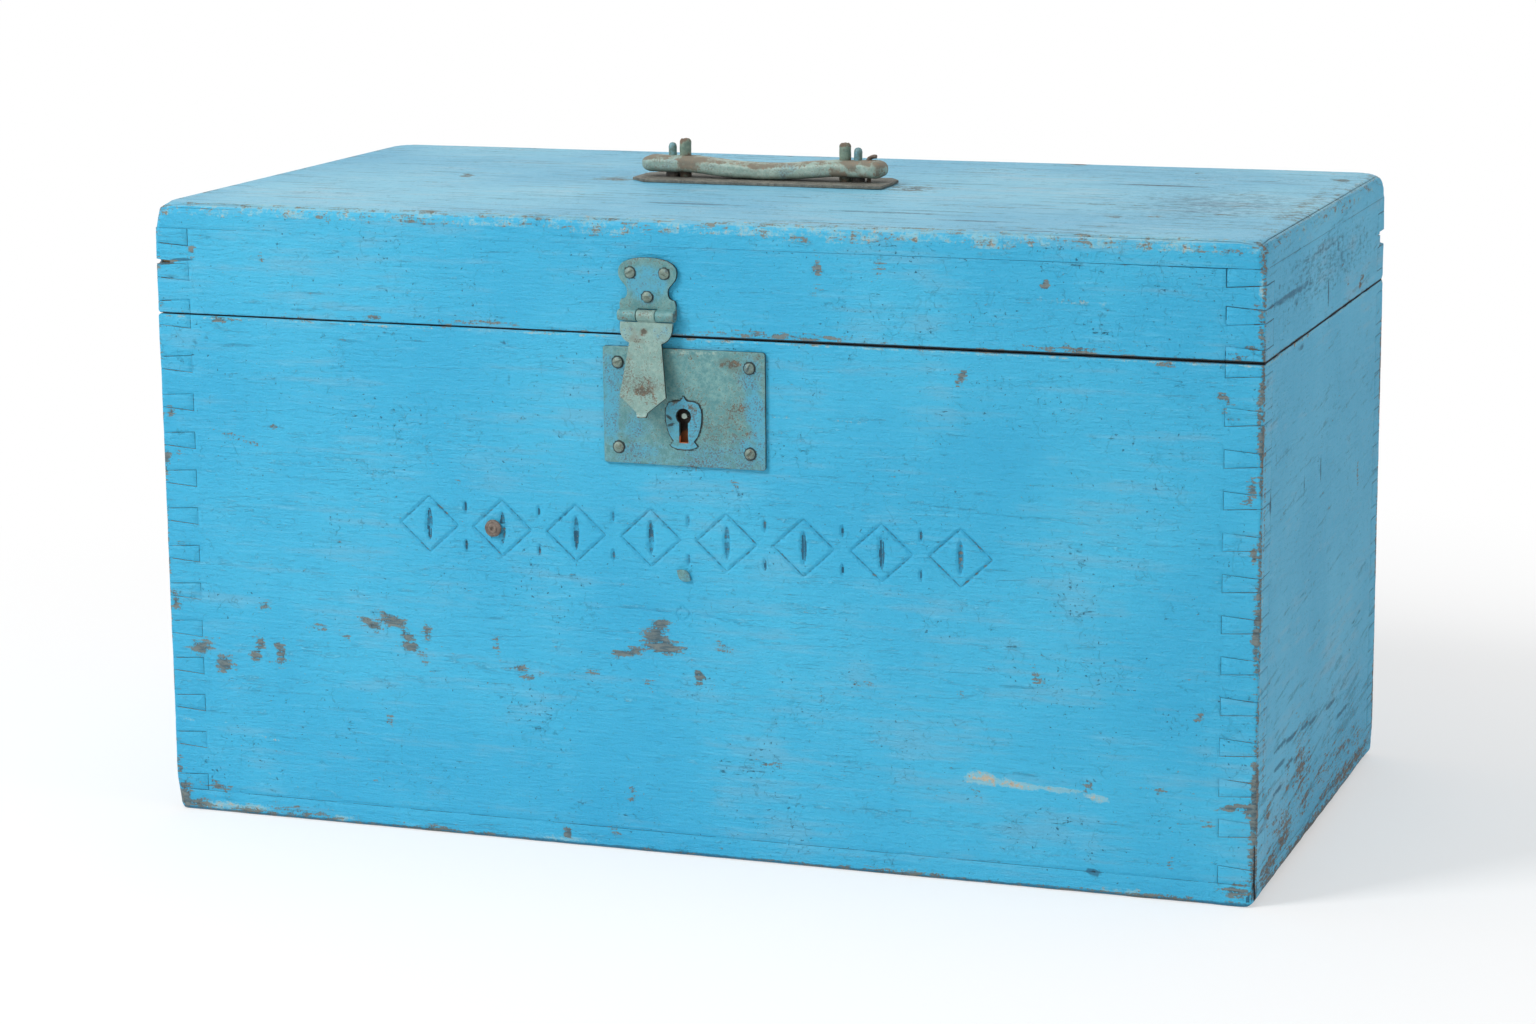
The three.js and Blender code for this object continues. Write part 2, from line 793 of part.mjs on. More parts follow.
function haspLeafShape() {
  const half = haspLeafWide / 2;
  const barrel = haspBarrelLong / 2;
  const s = haspLeafShares;
  const right = new THREE.Path();
  right.moveTo(barrel, 0);
  right.lineTo(barrel, s.barrelUp * haspLeafHigh);
  right.lineTo(s.shoulderOut * half, s.shoulderUp * haspLeafHigh);
  right.quadraticCurveTo(
    s.neckOut * half,
    s.shoulderUp * haspLeafHigh,
    s.neckOut * half,
    s.neckUp * haspLeafHigh,
  );
  right.bezierCurveTo(
    s.neckOut * half,
    s.neckPullUp * haspLeafHigh,
    half,
    s.neckPullUp * haspLeafHigh,
    half,
    s.wideUp * haspLeafHigh,
  );
  right.bezierCurveTo(half, s.crownUp * haspLeafHigh, s.crownOut * half, haspLeafHigh, 0, haspLeafHigh);
  return mirroredShape(right);
}

// A closed shape from its right half, which starts low and ends on the middle line.
function mirroredShape(rightHalf) {
  const right = rightHalf.getPoints(curveSteps);
  const left = right
    .filter((point) => point.x > 0)
    .map((point) => new THREE.Vector2(-point.x, point.y))
    .reverse();
  return new THREE.Shape([...right, ...left]);
}

// Hasp leaf about the hasp's axis, with the two outer knuckles.
function haspLeaf() {
  const wood = haspAxisOut;
  const middle = haspMiddleLong / 2;
  const plate = prismAlongY(haspLeafShape(), wood - haspLeafThick, wood);
  const barrel = haspBarrelLong / 2;
  const knuckles = [
    rodAlongX(haspBarrelRadius, -barrel, -middle, 0, 0),
    rodAlongX(haspBarrelRadius, middle, barrel, 0, 0),
  ];
  const bend = box([-barrel, 0, 0], [barrel, wood, haspBarrelRadius]);
  const middleRoom = box(
    [-middle - looseFit, -wood, -haspBarrelRadius - looseFit],
    [middle + looseFit, wood + overrun, haspBarrelRadius + looseFit],
  );
  const pinHole = rodAlongX(haspPinRadius + pinFit, -barrel - overrun, barrel + overrun, 0, 0);
  const screwHoles = haspScrewPlaces().map(([x, z]) =>
    rodAlongY(screwShankRadius + pinFit, -wood, wood + overrun, x, z),
  );
  return cut(joined([plate, bend, ...knuckles]), [middleRoom, pinHole, ...screwHoles]);
}

function flapShape() {
  const right = new THREE.Path();
  const top = haspBarrelRadius + looseFit;
  right.moveTo(flapNubWide / 2, -flapLong);
  right.lineTo(flapTipWide / 2, -flapTipDown);
  right.lineTo(flapShoulderWide / 2, -flapShoulderDown);
  right.lineTo(flapWaistWide / 2, -flapWaistDown);
  right.quadraticCurveTo(flapFanWide / 2, -flapWaistDown + top / 2, flapFanWide / 2, -flapFanDeep + top);
  right.lineTo(flapFanWide / 2, -top);
  right.lineTo(0, -top);
  return mirroredShape(right);
}

// Hasp flap about the hasp's axis, hanging straight down, with the middle knuckle.
function haspFlap() {
  const plate = prismAlongY(flapShape(), flapBack - flapThick, flapBack);
  const middle = haspMiddleLong / 2 - looseFit / 2;
  const neck = box([-middle, flapBack - flapThick, -flapFanDeep], [middle, flapBack, 0]);
  const knuckle = rodAlongX(haspBarrelRadius, -middle, middle, 0, 0);
  const pinHole = rodAlongX(haspPinRadius + pinFit, -middle - overrun, middle + overrun, 0, 0);
  return cut(joined([plate, neck, knuckle]), [pinHole]);
}

// Staple on the flap's back, with an eye for the lock bolt.
function haspStaple() {
  const reach = flapBack + stapleReach;
  const whole = box(
    [-stapleWide / 2, flapBack + looseFit, -stapleDown - stapleHigh / 2],
    [stapleWide / 2, reach, -stapleDown + stapleHigh / 2],
  );
  const eye = box(
    [-stapleWide, haspAxisOut, -stapleDown - stapleHigh / 2 + stapleWall],
    [stapleWide, reach - stapleWall, -stapleDown + stapleHigh / 2 - stapleWall],
  );
  return whole.subtract(eye);
}

function haspPin() {
  return rodAlongX(haspPinRadius, -haspBarrelLong / 2, haspBarrelLong / 2, 0, 0);
}

// Knuckles of a hinge barrel along X: every second one from the first asked for.
function hingeKnuckles(first, radius, grow) {
  const step = hingeLong / hingeKnuckleCount;
  const knuckles = [];
  for (let knuckle = first; knuckle < hingeKnuckleCount; knuckle += 2) {
    const start = -hingeLong / 2 + knuckle * step;
    knuckles.push(rodAlongX(radius, start + looseFit / 2 - grow, start + step - looseFit / 2 + grow, 0, 0));
  }
  return joined(knuckles);
}

// A hinge leaf about the hinge's axis, going up, its screwed side against -Y.
function hingeLeaf(firstKnuckle) {
  const wood = -hingeBarrelRadius;
  const plate = box([-hingeLong / 2, wood, 0], [hingeLong / 2, wood + hingeLeafThick, hingeLeafHigh]);
  const ownKnuckles = hingeKnuckles(firstKnuckle, hingeBarrelRadius, 0);
  const otherRoom = hingeKnuckles(1 - firstKnuckle, hingeBarrelRadius + looseFit, looseFit / 2);
  const pinHole = rodAlongX(hingePinRadius + pinFit, -hingeLong, hingeLong, 0, 0);
  const sinks = hingeScrewPlaces().map(([x, z]) =>
    countersink(pinFit).rotate([-90, 0, 0]).translate([x, wood + hingeLeafThick, z]),
  );
  return cut(plate.subtract(otherRoom).add(ownKnuckles), [pinHole, ...sinks]);
}

function hingePin() {
  return rodAlongX(hingePinRadius, -hingeLong / 2, hingeLong / 2, 0, 0);
}

// Round front nail, its head's underside at Z zero and the head upwards.
function frontNail() {
  const nail = turned(
    [
      [0, -frontNailLong + pinFit],
      [frontNailShankRadius, -frontNailLong + nailTipLong],
      [frontNailShankRadius, 0],
      [frontNailRadius, 0],
      [frontNailRadius, frontNailHeadHigh * frontNailRimShare],
      [frontNailRadius * frontNailCrownShare, frontNailHeadHigh],
      [0, frontNailHeadHigh],
    ],
    screwSides,
  );
  const dimple = rodAlongZ(
    frontNailDimpleRadius,
    frontNailHeadHigh - frontNailDimpleDeep,
    frontNailHeadHigh + overrun,
    0,
    0,
  );
  return nail.subtract(dimple);
}

// Nail beaten flat to a leaf over its own shank.
function flattenedNail() {
  const shape = new THREE.Shape();
  const half = flatNailLong / 2;
  shape.moveTo(-half, 0);
  shape.quadraticCurveTo(0, -flatNailWide, half, 0);
  shape.quadraticCurveTo(0, flatNailWide, -half, 0);
  const leaf = prismAlongZ(shape, 0, flatNailThick);
  const shank = turned(
    [
      [0, -frontNailLong + pinFit],
      [frontNailShankRadius, -frontNailLong + nailTipLong],
      [frontNailShankRadius, flatNailThick / 2],
      [0, flatNailThick / 2],
    ],
    screwSides,
  );
  return leaf.add(shank);
}

// Handle plate, its underside at Z zero, its back corners clipped.
function handlePlate() {
  const half = handlePlateLong / 2;
  const side = handlePlateWide / 2;
  const shape = outline([
    [-half, -side],
    [half, -side],
    [half, side - handlePlateClipWide],
    [half - handlePlateClipLong, side],
    [handlePlateClipLong - half, side],
    [-half, side - handlePlateClipWide],
  ]);
  const holes = handleFixings().map(({ out, radius }) =>
    rodAlongZ(radius + pinFit, -overrun, handlePlateThick + overrun, out, 0),
  );
  return cut(prismAlongZ(shape, 0, handlePlateThick), holes);
}

// Height of the bar's middle line above the handle plate's underside.
function barMiddle(along) {
  const waistDrop = barLift - looseFit + ((1 - barWaistShare) * barHigh) / 2;
  const share = Math.min(1, Math.abs(along) / (handleBoltOut - handleBoltRadius));
  return handlePlateThick + barLift + barHigh / 2 - waistDrop * (1 - share * share) ** 2;
}

// How thick the bar is there, as a share of its full thickness.
function barFullness(along) {
  const half = barLong / 2;
  const share = Math.min(1, Math.abs(along) / (handleBoltOut - handleBoltRadius));
  const waist = barWaistShare + (1 - barWaistShare) * share * share;
  const intoEnd = Math.max(0, Math.abs(along) - (half - barEndRound)) / barEndRound;
  return waist * Math.sqrt(Math.max(0, 1 - intoEnd * intoEnd));
}

// Places along the bar where its section is given, closer together in the round ends.
function barStations() {
  const half = barLong / 2;
  const straight = half - barEndRound;
  const stations = [];
  for (let step = 0; step < barEndSteps; step += 1) {
    stations.push(-straight - barEndRound * Math.cos(((step / barEndSteps) * Math.PI) / 2));
  }
  for (let step = 0; step <= barSteps; step += 1) {
    stations.push(-straight + (2 * straight * step) / barSteps);
  }
  for (let step = barEndSteps - 1; step >= 0; step -= 1) {
    stations.push(straight + barEndRound * Math.cos(((step / barEndSteps) * Math.PI) / 2));
  }
  return stations;
}

// The bar: a turned form, pressed oval, sagging in the middle until it nears the plate.
function handleBar() {
  const points = barStations().map((along) => new THREE.Vector2((barFullness(along) * barHigh) / 2, along));
  points[0].x = 0;
  points[points.length - 1].x = 0;
  const geometry = new THREE.LatheGeometry(points, barSides);
  geometry.rotateZ(-Math.PI / 2);
  const position = geometry.attributes.position;
  for (let index = 0; index < position.count; index += 1) {
    const along = position.getX(index);
    position.setY(index, (position.getY(index) * barWide) / barHigh);
    position.setZ(index, position.getZ(index) + barMiddle(along));
  }
  const holes = handleFixings().map(({ out, radius }) =>
    rodAlongZ(radius + pinFit, -overrun, handleBoltTall, out, 0),
  );
  return cut(solidOf(geometry), holes);
}

// Bolt from under the lid top up through the bar; its broken end stands above it.
function handleBolt() {
  const headTop = -lidTopThick;
  const tipTop = handleBoltTall + handleBoltRadius * handleBoltShares.tipHigh;
  const head = turned(
    [
      [0, headTop - handleBoltHeadThick],
      [handleBoltHeadRadius * handleBoltShares.headCrown, headTop - handleBoltHeadThick],
      [handleBoltHeadRadius, headTop - handleBoltHeadThick / 2],
      [handleBoltHeadRadius, headTop],
      [0, headTop],
    ],
    screwSides,
  );
  const shank = turned(
    [
      [0, headTop - handleBoltHeadThick / 2],
      [handleBoltRadius, headTop - handleBoltHeadThick / 2],
      [handleBoltRadius, handleBoltTall],
      [handleBoltRadius * handleBoltShares.tipRadius, tipTop],
      [0, tipTop],
    ],
    screwSides,
  );
  return head.add(shank);
}

// Stud with a round end, driven into the lid top.
function handleStud() {
  const profile = [
    [0, -handleStudDeep],
    [handleStudRadius, handleStudRadius - handleStudDeep],
  ];
  for (let step = 0; step <= roundSteps; step += 1) {
    const turn = (step / roundSteps) * (Math.PI / 2);
    const up = handleStudTall + handleStudRadius * Math.sin(turn);
    profile.push([handleStudRadius * Math.cos(turn), up]);
  }
  profile[profile.length - 1][0] = 0;
  return turned(profile, screwSides);
}

// Ring round a stud, between the plate and the bar.
function handleSpacer() {
  const ring = rodAlongZ(spacerRadius, handlePlateThick, handlePlateThick + barLift - looseFit, 0, 0);
  return ring.subtract(rodAlongZ(handleStudRadius + pinFit, -overrun, barHigh, 0, 0));
}

// Small nail through the bar's end, bent over to the side.
function bentNail() {
  const shank = rodAlongZ(bentNailRadius, -bentNailDeep, bentNailTall, 0, 0);
  const bend = new THREE.QuadraticBezierCurve3(
    new THREE.Vector3(0, 0, bentNailTall - bentNailRadius),
    new THREE.Vector3(0, 0, bentNailTall + bentNailRise),
    new THREE.Vector3(bentNailLean, 0, bentNailTall + bentNailRise),
  );
  const section = new THREE.Shape();
  section.absarc(0, 0, bentNailRadius, 0, 2 * Math.PI);
  const geometry = new THREE.ExtrudeGeometry(section, {
    steps: curveSteps,
    curveSegments: curveSteps,
    extrudePath: bend,
  });
  return shank.add(solidOf(geometry));
}

// The body: five boards, the nails, the lock and what the front carries.
function bodyGroup() {
  const body = new THREE.Group();
  const inner = chestWidth / 2 - boardThick;
  place(body, 'bottom_board', bottomBoard(), bluePaint());
  place(body, 'front_board', frontBoard(), bluePaint(), [0, frontFace + boardThick / 2, bottomThick]);
  place(body, 'back_board', backBoard(), bluePaint(), [0, backFace - boardThick / 2, bottomThick]);
  place(body, 'right_side_board', sideBoard(), bluePaint(), [inner, 0, bottomThick]);
  place(body, 'left_side_board', sideBoard(), bluePaint(), [-inner, 0, bottomThick], [0, 0, Math.PI]);
  bottomNailPlaces().forEach(([x, y], index) => {
    const headTop = nailHeadSunk + nailHeadThick;
    place(body, `bottom_nail_${index + 1}`, bottomNail(), rustyIron(), [x, y, headTop]);
  });
  const headOut = [Math.PI / 2, 0, 0];
  place(body, 'front_nail', frontNail(), rustyIron(), [frontNailAcross, frontFace, frontNailUp], headOut);
  const flatPlace = [flatNailAcross, frontFace, flatNailUp];
  place(body, 'flattened_nail', flattenedNail(), rustyIron(), flatPlace, [Math.PI / 2, 0, flatNailLean]);
  body.add(lockGroup());
  return body;
}

function lockGroup() {
  const lock = new THREE.Group();
  lock.position.set(lockPlateAcross, frontFace, lockPlateUp);
  place(lock, 'lock_plate', lockPlate(), greenPaintedIron());
  place(lock, 'keyhole_escutcheon', escutcheon(), greenPaintedIron());
  place(lock, 'lock_case', lockCase(), darkIron());
  place(lock, 'lock_bolt', lockBolt(), darkIron());
  place(lock, 'lock_spring', lockSpring(), darkIron());
  place(lock, 'lock_key_pin', keyPin(), darkIron());
  const headOut = [Math.PI / 2, 0, 0];
  lockScrewPlaces().forEach(([x, z], index) => {
    const seat = [x, -lockPlateThick, z];
    place(lock, `lock_screw_${index + 1}`, roundHeadScrew(), greenPaintedIron(), seat, headOut);
  });
  return lock;
}

function lidGroup() {
  const lid = new THREE.Group();
  lid.position.set(0, 0, lidBase);
  const inner = chestWidth / 2 - boardThick;
  place(lid, 'lid_front_board', lidFrontBoard(), bluePaint(), [0, frontFace + boardThick / 2, 0]);
  place(lid, 'lid_back_board', lidBackBoard(), bluePaint(), [0, backFace - boardThick / 2, 0]);
  place(lid, 'lid_right_board', pinBoard(lidBoardHigh, lidPins()), bluePaint(), [inner, 0, 0]);
  const leftTurn = [0, 0, Math.PI];
  place(lid, 'lid_left_board', pinBoard(lidBoardHigh, lidPins()), bluePaint(), [-inner, 0, 0], leftTurn);
  place(lid, 'lid_top_board', lidTopBoard(), bluePaint(), [0, 0, lidBoardHigh]);
  lid.add(haspGroup());
  lid.add(handleGroup());
  return lid;
}

function haspGroup() {
  const hasp = new THREE.Group();
  hasp.position.set(haspAcross, frontFace - haspAxisOut, haspAxisUp);
  place(hasp, 'hasp_leaf', haspLeaf(), greenPaintedIron());
  place(hasp, 'hasp_pin', haspPin(), greenPaintedIron());
  const headOut = [Math.PI / 2, 0, 0];
  haspScrewPlaces().forEach(([x, z], index) => {
    const seat = [x, haspAxisOut - haspLeafThick, z];
    place(hasp, `hasp_screw_${index + 1}`, roundHeadScrew(), greenPaintedIron(), seat, headOut);
  });
  const flap = new THREE.Group();
  flap.rotation.x = -haspRestTilt;
  place(flap, 'hasp_flap', haspFlap(), greenPaintedIron());
  place(flap, 'hasp_staple', haspStaple(), greenPaintedIron());
  hasp.add(flap);
  return hasp;
}

function handleGroup() {
  const handle = new THREE.Group();
  handle.position.set(handleAcross, handleBack, lidBoardHigh + lidTopThick);
  place(handle, 'handle_plate', handlePlate(), rustyIron());
  place(handle, 'handle_bar', handleBar(), greenPaintedIron());
  for (const { side, sign } of [{ side: 'left', sign: -1 }, { side: 'right', sign: 1 }]) {
    place(handle, `handle_bolt_${side}`, handleBolt(), rustyIron(), [sign * handleBoltOut, 0, 0]);
    place(handle, `handle_stud_${side}`, handleStud(), greenPaintedIron(), [sign * handleStudOut, 0, 0]);
    place(handle, `handle_spacer_${side}`, handleSpacer(), darkIron(), [sign * handleStudOut, 0, 0]);
  }
  place(handle, 'bent_nail', bentNail(), rustyIron(), [bentNailOut, 0, 0]);
  return handle;
}

// One butt hinge: a leaf down on the body, a leaf up on the lid, the pin and the screws.
function hingeGroup(side, x) {
  const hinge = new THREE.Group();
  hinge.position.set(x, backFace + hingeBarrelRadius, bodyTop + seamGap / 2);
  place(hinge, `hinge_${side}_lid_leaf`, hingeLeaf(1), greenPaintedIron());
  const bodyLeaf = hingeLeaf(0).mirror([0, 0, 1]);
  place(hinge, `hinge_${side}_body_leaf`, bodyLeaf, greenPaintedIron());
  place(hinge, `hinge_${side}_pin`, hingePin(), greenPaintedIron());
  const face = hingeLeafThick - hingeBarrelRadius;
  const headOut = [-Math.PI / 2, 0, 0];
  hingeScrewPlaces().forEach(([along, up], index) => {
    const lidScrew = `hinge_${side}_lid_screw_${index + 1}`;
    const bodyScrew = `hinge_${side}_body_screw_${index + 1}`;
    place(hinge, lidScrew, flatHeadScrew(), rustyIron(), [along, face, up], headOut);
    place(hinge, bodyScrew, flatHeadScrew(), rustyIron(), [along, face, -up], headOut);
  });
  return hinge;
}

const chest = new THREE.Group();
chest.add(bodyGroup());
chest.add(lidGroup());
hingeCentres().forEach(({ side, x }) => chest.add(hingeGroup(side, x)));

export default chest;
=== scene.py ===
import bpy
import bmesh
import math
from mathutils import Matrix, Vector, noise


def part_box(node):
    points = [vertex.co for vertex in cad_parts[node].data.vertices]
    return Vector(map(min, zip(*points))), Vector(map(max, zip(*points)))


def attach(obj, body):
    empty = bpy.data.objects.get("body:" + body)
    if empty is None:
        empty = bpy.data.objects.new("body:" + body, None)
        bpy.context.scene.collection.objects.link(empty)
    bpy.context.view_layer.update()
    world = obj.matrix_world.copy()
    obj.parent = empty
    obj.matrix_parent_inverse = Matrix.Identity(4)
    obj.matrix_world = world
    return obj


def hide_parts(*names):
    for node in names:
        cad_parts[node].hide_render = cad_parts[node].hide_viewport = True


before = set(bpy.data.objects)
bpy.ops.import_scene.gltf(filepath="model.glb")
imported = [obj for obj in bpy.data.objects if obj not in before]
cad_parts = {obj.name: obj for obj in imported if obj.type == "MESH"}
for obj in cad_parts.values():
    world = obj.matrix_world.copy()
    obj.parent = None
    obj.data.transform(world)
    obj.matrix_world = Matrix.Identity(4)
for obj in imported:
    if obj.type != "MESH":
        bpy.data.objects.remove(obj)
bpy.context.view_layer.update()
mm = 0.001
print("frame loaded")

# the chest's outer block, from the frame and shared by every board
frontLow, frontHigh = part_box("front_board")
lidTopLow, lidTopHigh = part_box("lid_top_board")
chest = {
    "halfWide": round(frontHigh.x, 6),
    "halfDeep": round(-frontLow.y, 6),
    "top": round(lidTopHigh.z, 6),
    "bodyTop": round(frontHigh.z, 6),
    "lidBase": round(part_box("lid_front_board")[0].z, 6),
    "topJoint": round(lidTopLow.z, 6),
}

# how worn the outer edges are, as radii, and how far in from them the wear goes
edgeWear = {
    "upright": 2.0 * mm,
    "uprightFoot": 7.0 * mm,
    "uprightTop": 7.0 * mm,
    "lidTop": 5.6 * mm,
    "lidCorner": 4.6 * mm,
    "foot": 2.2 * mm,
    "footCorner": 5.5 * mm,
    "seam": 1.1 * mm,
    "seamChip": 1.5 * mm,
    "waver": 0.9 * mm,
    "reach": 12 * mm,
}


def ripple(x, y, z, size):
    return noise.noise(Vector((x / size, y / size, z / size)))


def smooth(value, low, high):
    share = min(1.0, max(0.0, (value - low) / (high - low)))
    return share * share * (3 - 2 * share)


# material helpers

def tint(red, green, blue):
    shades = []
    for shade in (red, green, blue):
        part = shade / 255
        shades.append(part / 12.92 if part <= 0.04045 else ((part + 0.055) / 1.055) ** 2.4)
    return (*shades, 1.0)


def freshMaterial(name):
    material = bpy.data.materials.new(name)
    material.use_nodes = True
    tree = material.node_tree
    tree.nodes.clear()
    output = tree.nodes.new("ShaderNodeOutputMaterial")
    shader = tree.nodes.new("ShaderNodeBsdfPrincipled")
    tree.links.new(shader.outputs[0], output.inputs[0])
    return material, tree, shader


def put(tree, kind, inputs=None, **settings):
    node = tree.nodes.new(kind)
    for key, value in settings.items():
        setattr(node, key, value)
    for key, value in (inputs or {}).items():
        if isinstance(value, bpy.types.NodeSocket):
            tree.links.new(value, node.inputs[key])
        else:
            node.inputs[key].default_value = value
    return node


def place(tree):
    return put(tree, "ShaderNodeTexCoord").outputs["Object"]


def stretched(tree, where, scale, turn=(0, 0, 0)):
    return put(tree, "ShaderNodeMapping", {"Vector": where, "Scale": scale, "Rotation": turn}).outputs[0]


def cloud(tree, where, scale, detail=3, rough=0.5):
    settings = {"Vector": where, "Scale": scale, "Detail": detail, "Roughness": rough}
    return put(tree, "ShaderNodeTexNoise", settings).outputs[0]


def calc(tree, operation, first, second=0.0):
    return put(tree, "ShaderNodeMath", {0: first, 1: second}, operation=operation).outputs[0]


def offset(tree, value, weight):
    return calc(tree, "MULTIPLY", calc(tree, "SUBTRACT", value, 0.5), weight)


def total(tree, *values):
    whole = values[0]
    for value in values[1:]:
        whole = calc(tree, "ADD", whole, value)
    return whole


def ramp(tree, value, low, high, start=0.0, end=1.0):
    settings = {"Value": value, "From Min": low, "From Max": high, "To Min": start, "To Max": end}
    return put(tree, "ShaderNodeMapRange", settings, interpolation_type="SMOOTHSTEP").outputs[0]


def coat(tree, mask, under, over):
    return put(tree, "ShaderNodeMix", {0: mask, 6: under, 7: over}, data_type="RGBA").outputs[2]


def wearLayers(tree):
    layer = put(tree, "ShaderNodeAttribute", attribute_name="wear")
    parts = put(tree, "ShaderNodeSeparateColor", {0: layer.outputs["Color"]})
    return parts.outputs[0], parts.outputs[1], parts.outputs[2], layer.outputs["Alpha"]


def relief(tree, shader, height, distance, strength=1.0):
    settings = {"Height": height, "Distance": distance, "Strength": strength}
    bump = put(tree, "ShaderNodeBump", settings)
    tree.links.new(bump.outputs[0], shader.inputs["Normal"])


# blue oil paint on pine: the colours, then how rough and how proud the layers are
bluePaintLook = {
    "deep": (50, 170, 213),
    "light": (68, 185, 223),
    "brushMark": (112, 204, 236),
    "haze": (116, 174, 200),
    "grime": (36, 96, 124),
    "crack": (22, 62, 80),
    "gap": (16, 30, 36),
    "paleCoat": (140, 194, 208),
    "creamCoat": (208, 178, 136),
    "bareWood": (128, 126, 114),
    "bareDark": (70, 76, 76),
    "gloss": 0.46,
    "shine": 0.32,
    "crazing": 85,
    "relief": 1.1 * mm,
}


def hairline(tree, field, middle, thin, wide, strength=1.0):
    # a thin line wherever the field crosses its middle
    away = calc(tree, "ABSOLUTE", calc(tree, "SUBTRACT", field, middle))
    return ramp(tree, away, thin, wide, strength, 0.0)


def paintFields(tree, grain):
    # the noise that all layers of the paint share, long or short along the grain
    where = place(tree)
    along = [1.0, 1.0, 1.0]
    along[grain] = 0.08
    short = [1.0, 1.0, 1.0]
    short[grain] = 0.16
    longGrain = stretched(tree, where, along)
    return {
        "where": where,
        "longGrain": longGrain,
        "drift": cloud(tree, where, 8, 4),
        "brush": cloud(tree, longGrain, 420, 5, 0.62),
        "hair": cloud(tree, stretched(tree, where, short), 620, 4, 0.62),
        "blotch": cloud(tree, where, 260, 6, 0.7),
        "grit": cloud(tree, where, 900, 3, 0.62),
        "patch": cloud(tree, where, 34, 4, 0.6),
    }


def blueCoats(tree, look, field, pits):
    # the blue itself, with its haze, brush marks, specks and pits
    drift, patch, grit = field["drift"], field["patch"], field["grit"]
    haze = cloud(tree, field["longGrain"], 150, 6, 0.66)
    haze = total(tree, haze, offset(tree, drift, 0.5), offset(tree, patch, 0.4))
    brush = total(tree, field["brush"], offset(tree, patch, 0.4))
    hair = total(tree, field["hair"], offset(tree, patch, 0.3))
    colour = coat(tree, ramp(tree, drift, 0.25, 0.75), tint(*look["deep"]), tint(*look["light"]))
    layers = [
        (ramp(tree, haze, 0.5, 0.74, 0.0, 0.42), "haze"),
        (ramp(tree, brush, 0.54, 0.82, 0.0, 0.4), "brushMark"),
        (ramp(tree, hair, 0.42, 0.2, 0.0, 0.3), "grime"),
        (ramp(tree, grit, 0.58, 0.8, 0.0, 0.34), "brushMark"),
        (ramp(tree, grit, 0.42, 0.2, 0.0, 0.36), "grime"),
        (pits, "grime"),
    ]
    for mask, shade in layers:
        colour = coat(tree, mask, colour, tint(*look[shade]))
    return colour


def fineCracks(tree, look, field):
    # along the grain, a few that wander, and crazing
    where, blotch, patch = field["where"], field["blotch"], field["patch"]
    grainLine = hairline(tree, cloud(tree, field["longGrain"], 70, 4, 0.5), 0.5, 0.0012, 0.0045)
    grainLine = calc(tree, "MULTIPLY", grainLine, ramp(tree, blotch, 0.5, 0.6))
    cracks = calc(tree, "MULTIPLY", grainLine, ramp(tree, patch, 0.54, 0.66))
    wander = hairline(tree, cloud(tree, where, 11, 4, 0.5), 0.5, 0.0008, 0.003, 0.18)
    wander = calc(tree, "MULTIPLY", wander, ramp(tree, patch, 0.48, 0.58))
    cracks = calc(tree, "MAXIMUM", cracks, wander)
    sway = put(tree, "ShaderNodeTexNoise", {"Vector": where, "Scale": 130}).outputs[1]
    swayed = put(tree, "ShaderNodeMix", {0: 0.012, 4: where, 5: sway}, data_type="VECTOR").outputs[1]
    cells = {"Vector": swayed, "Scale": look["crazing"]}
    edge = put(tree, "ShaderNodeTexVoronoi", cells, feature="DISTANCE_TO_EDGE").outputs[0]
    dense = ramp(tree, total(tree, blotch, offset(tree, patch, 0.5)), 0.52, 0.62)
    crazing = calc(tree, "MULTIPLY", ramp(tree, edge, 0.008, 0.026, 0.34, 0.0), dense)
    return calc(tree, "MAXIMUM", cracks, crazing)


def paintRidges(tree, field):
    # thin ridges of paint: raised in the bump, and lightened as a painted highlight where they would catch
    # the light
    ridgeAndHighlight = hairline(tree, cloud(tree, field["longGrain"], 46, 5, 0.55), 0.46, 0.001, 0.005)
    places = total(tree, field["blotch"], offset(tree, field["patch"], -0.6))
    return calc(tree, "MULTIPLY", ridgeAndHighlight, ramp(tree, places, 0.5, 0.6))


def scuffMask(tree, field, scuffAt, turn, thinAxis):
    thin = [0.1, 0.1, 0.1]
    thin[thinAxis] = 1.3
    turned = stretched(tree, field["where"], (1, 1, 1), turn)
    streaks = cloud(tree, stretched(tree, turned, thin), 210, 5, 0.62)
    streaks = total(tree, streaks, calc(tree, "MULTIPLY", scuffAt, 0.18), offset(tree, field["blotch"], 0.2))
    return ramp(tree, streaks, 0.65, 0.75, 0.0, 0.8)


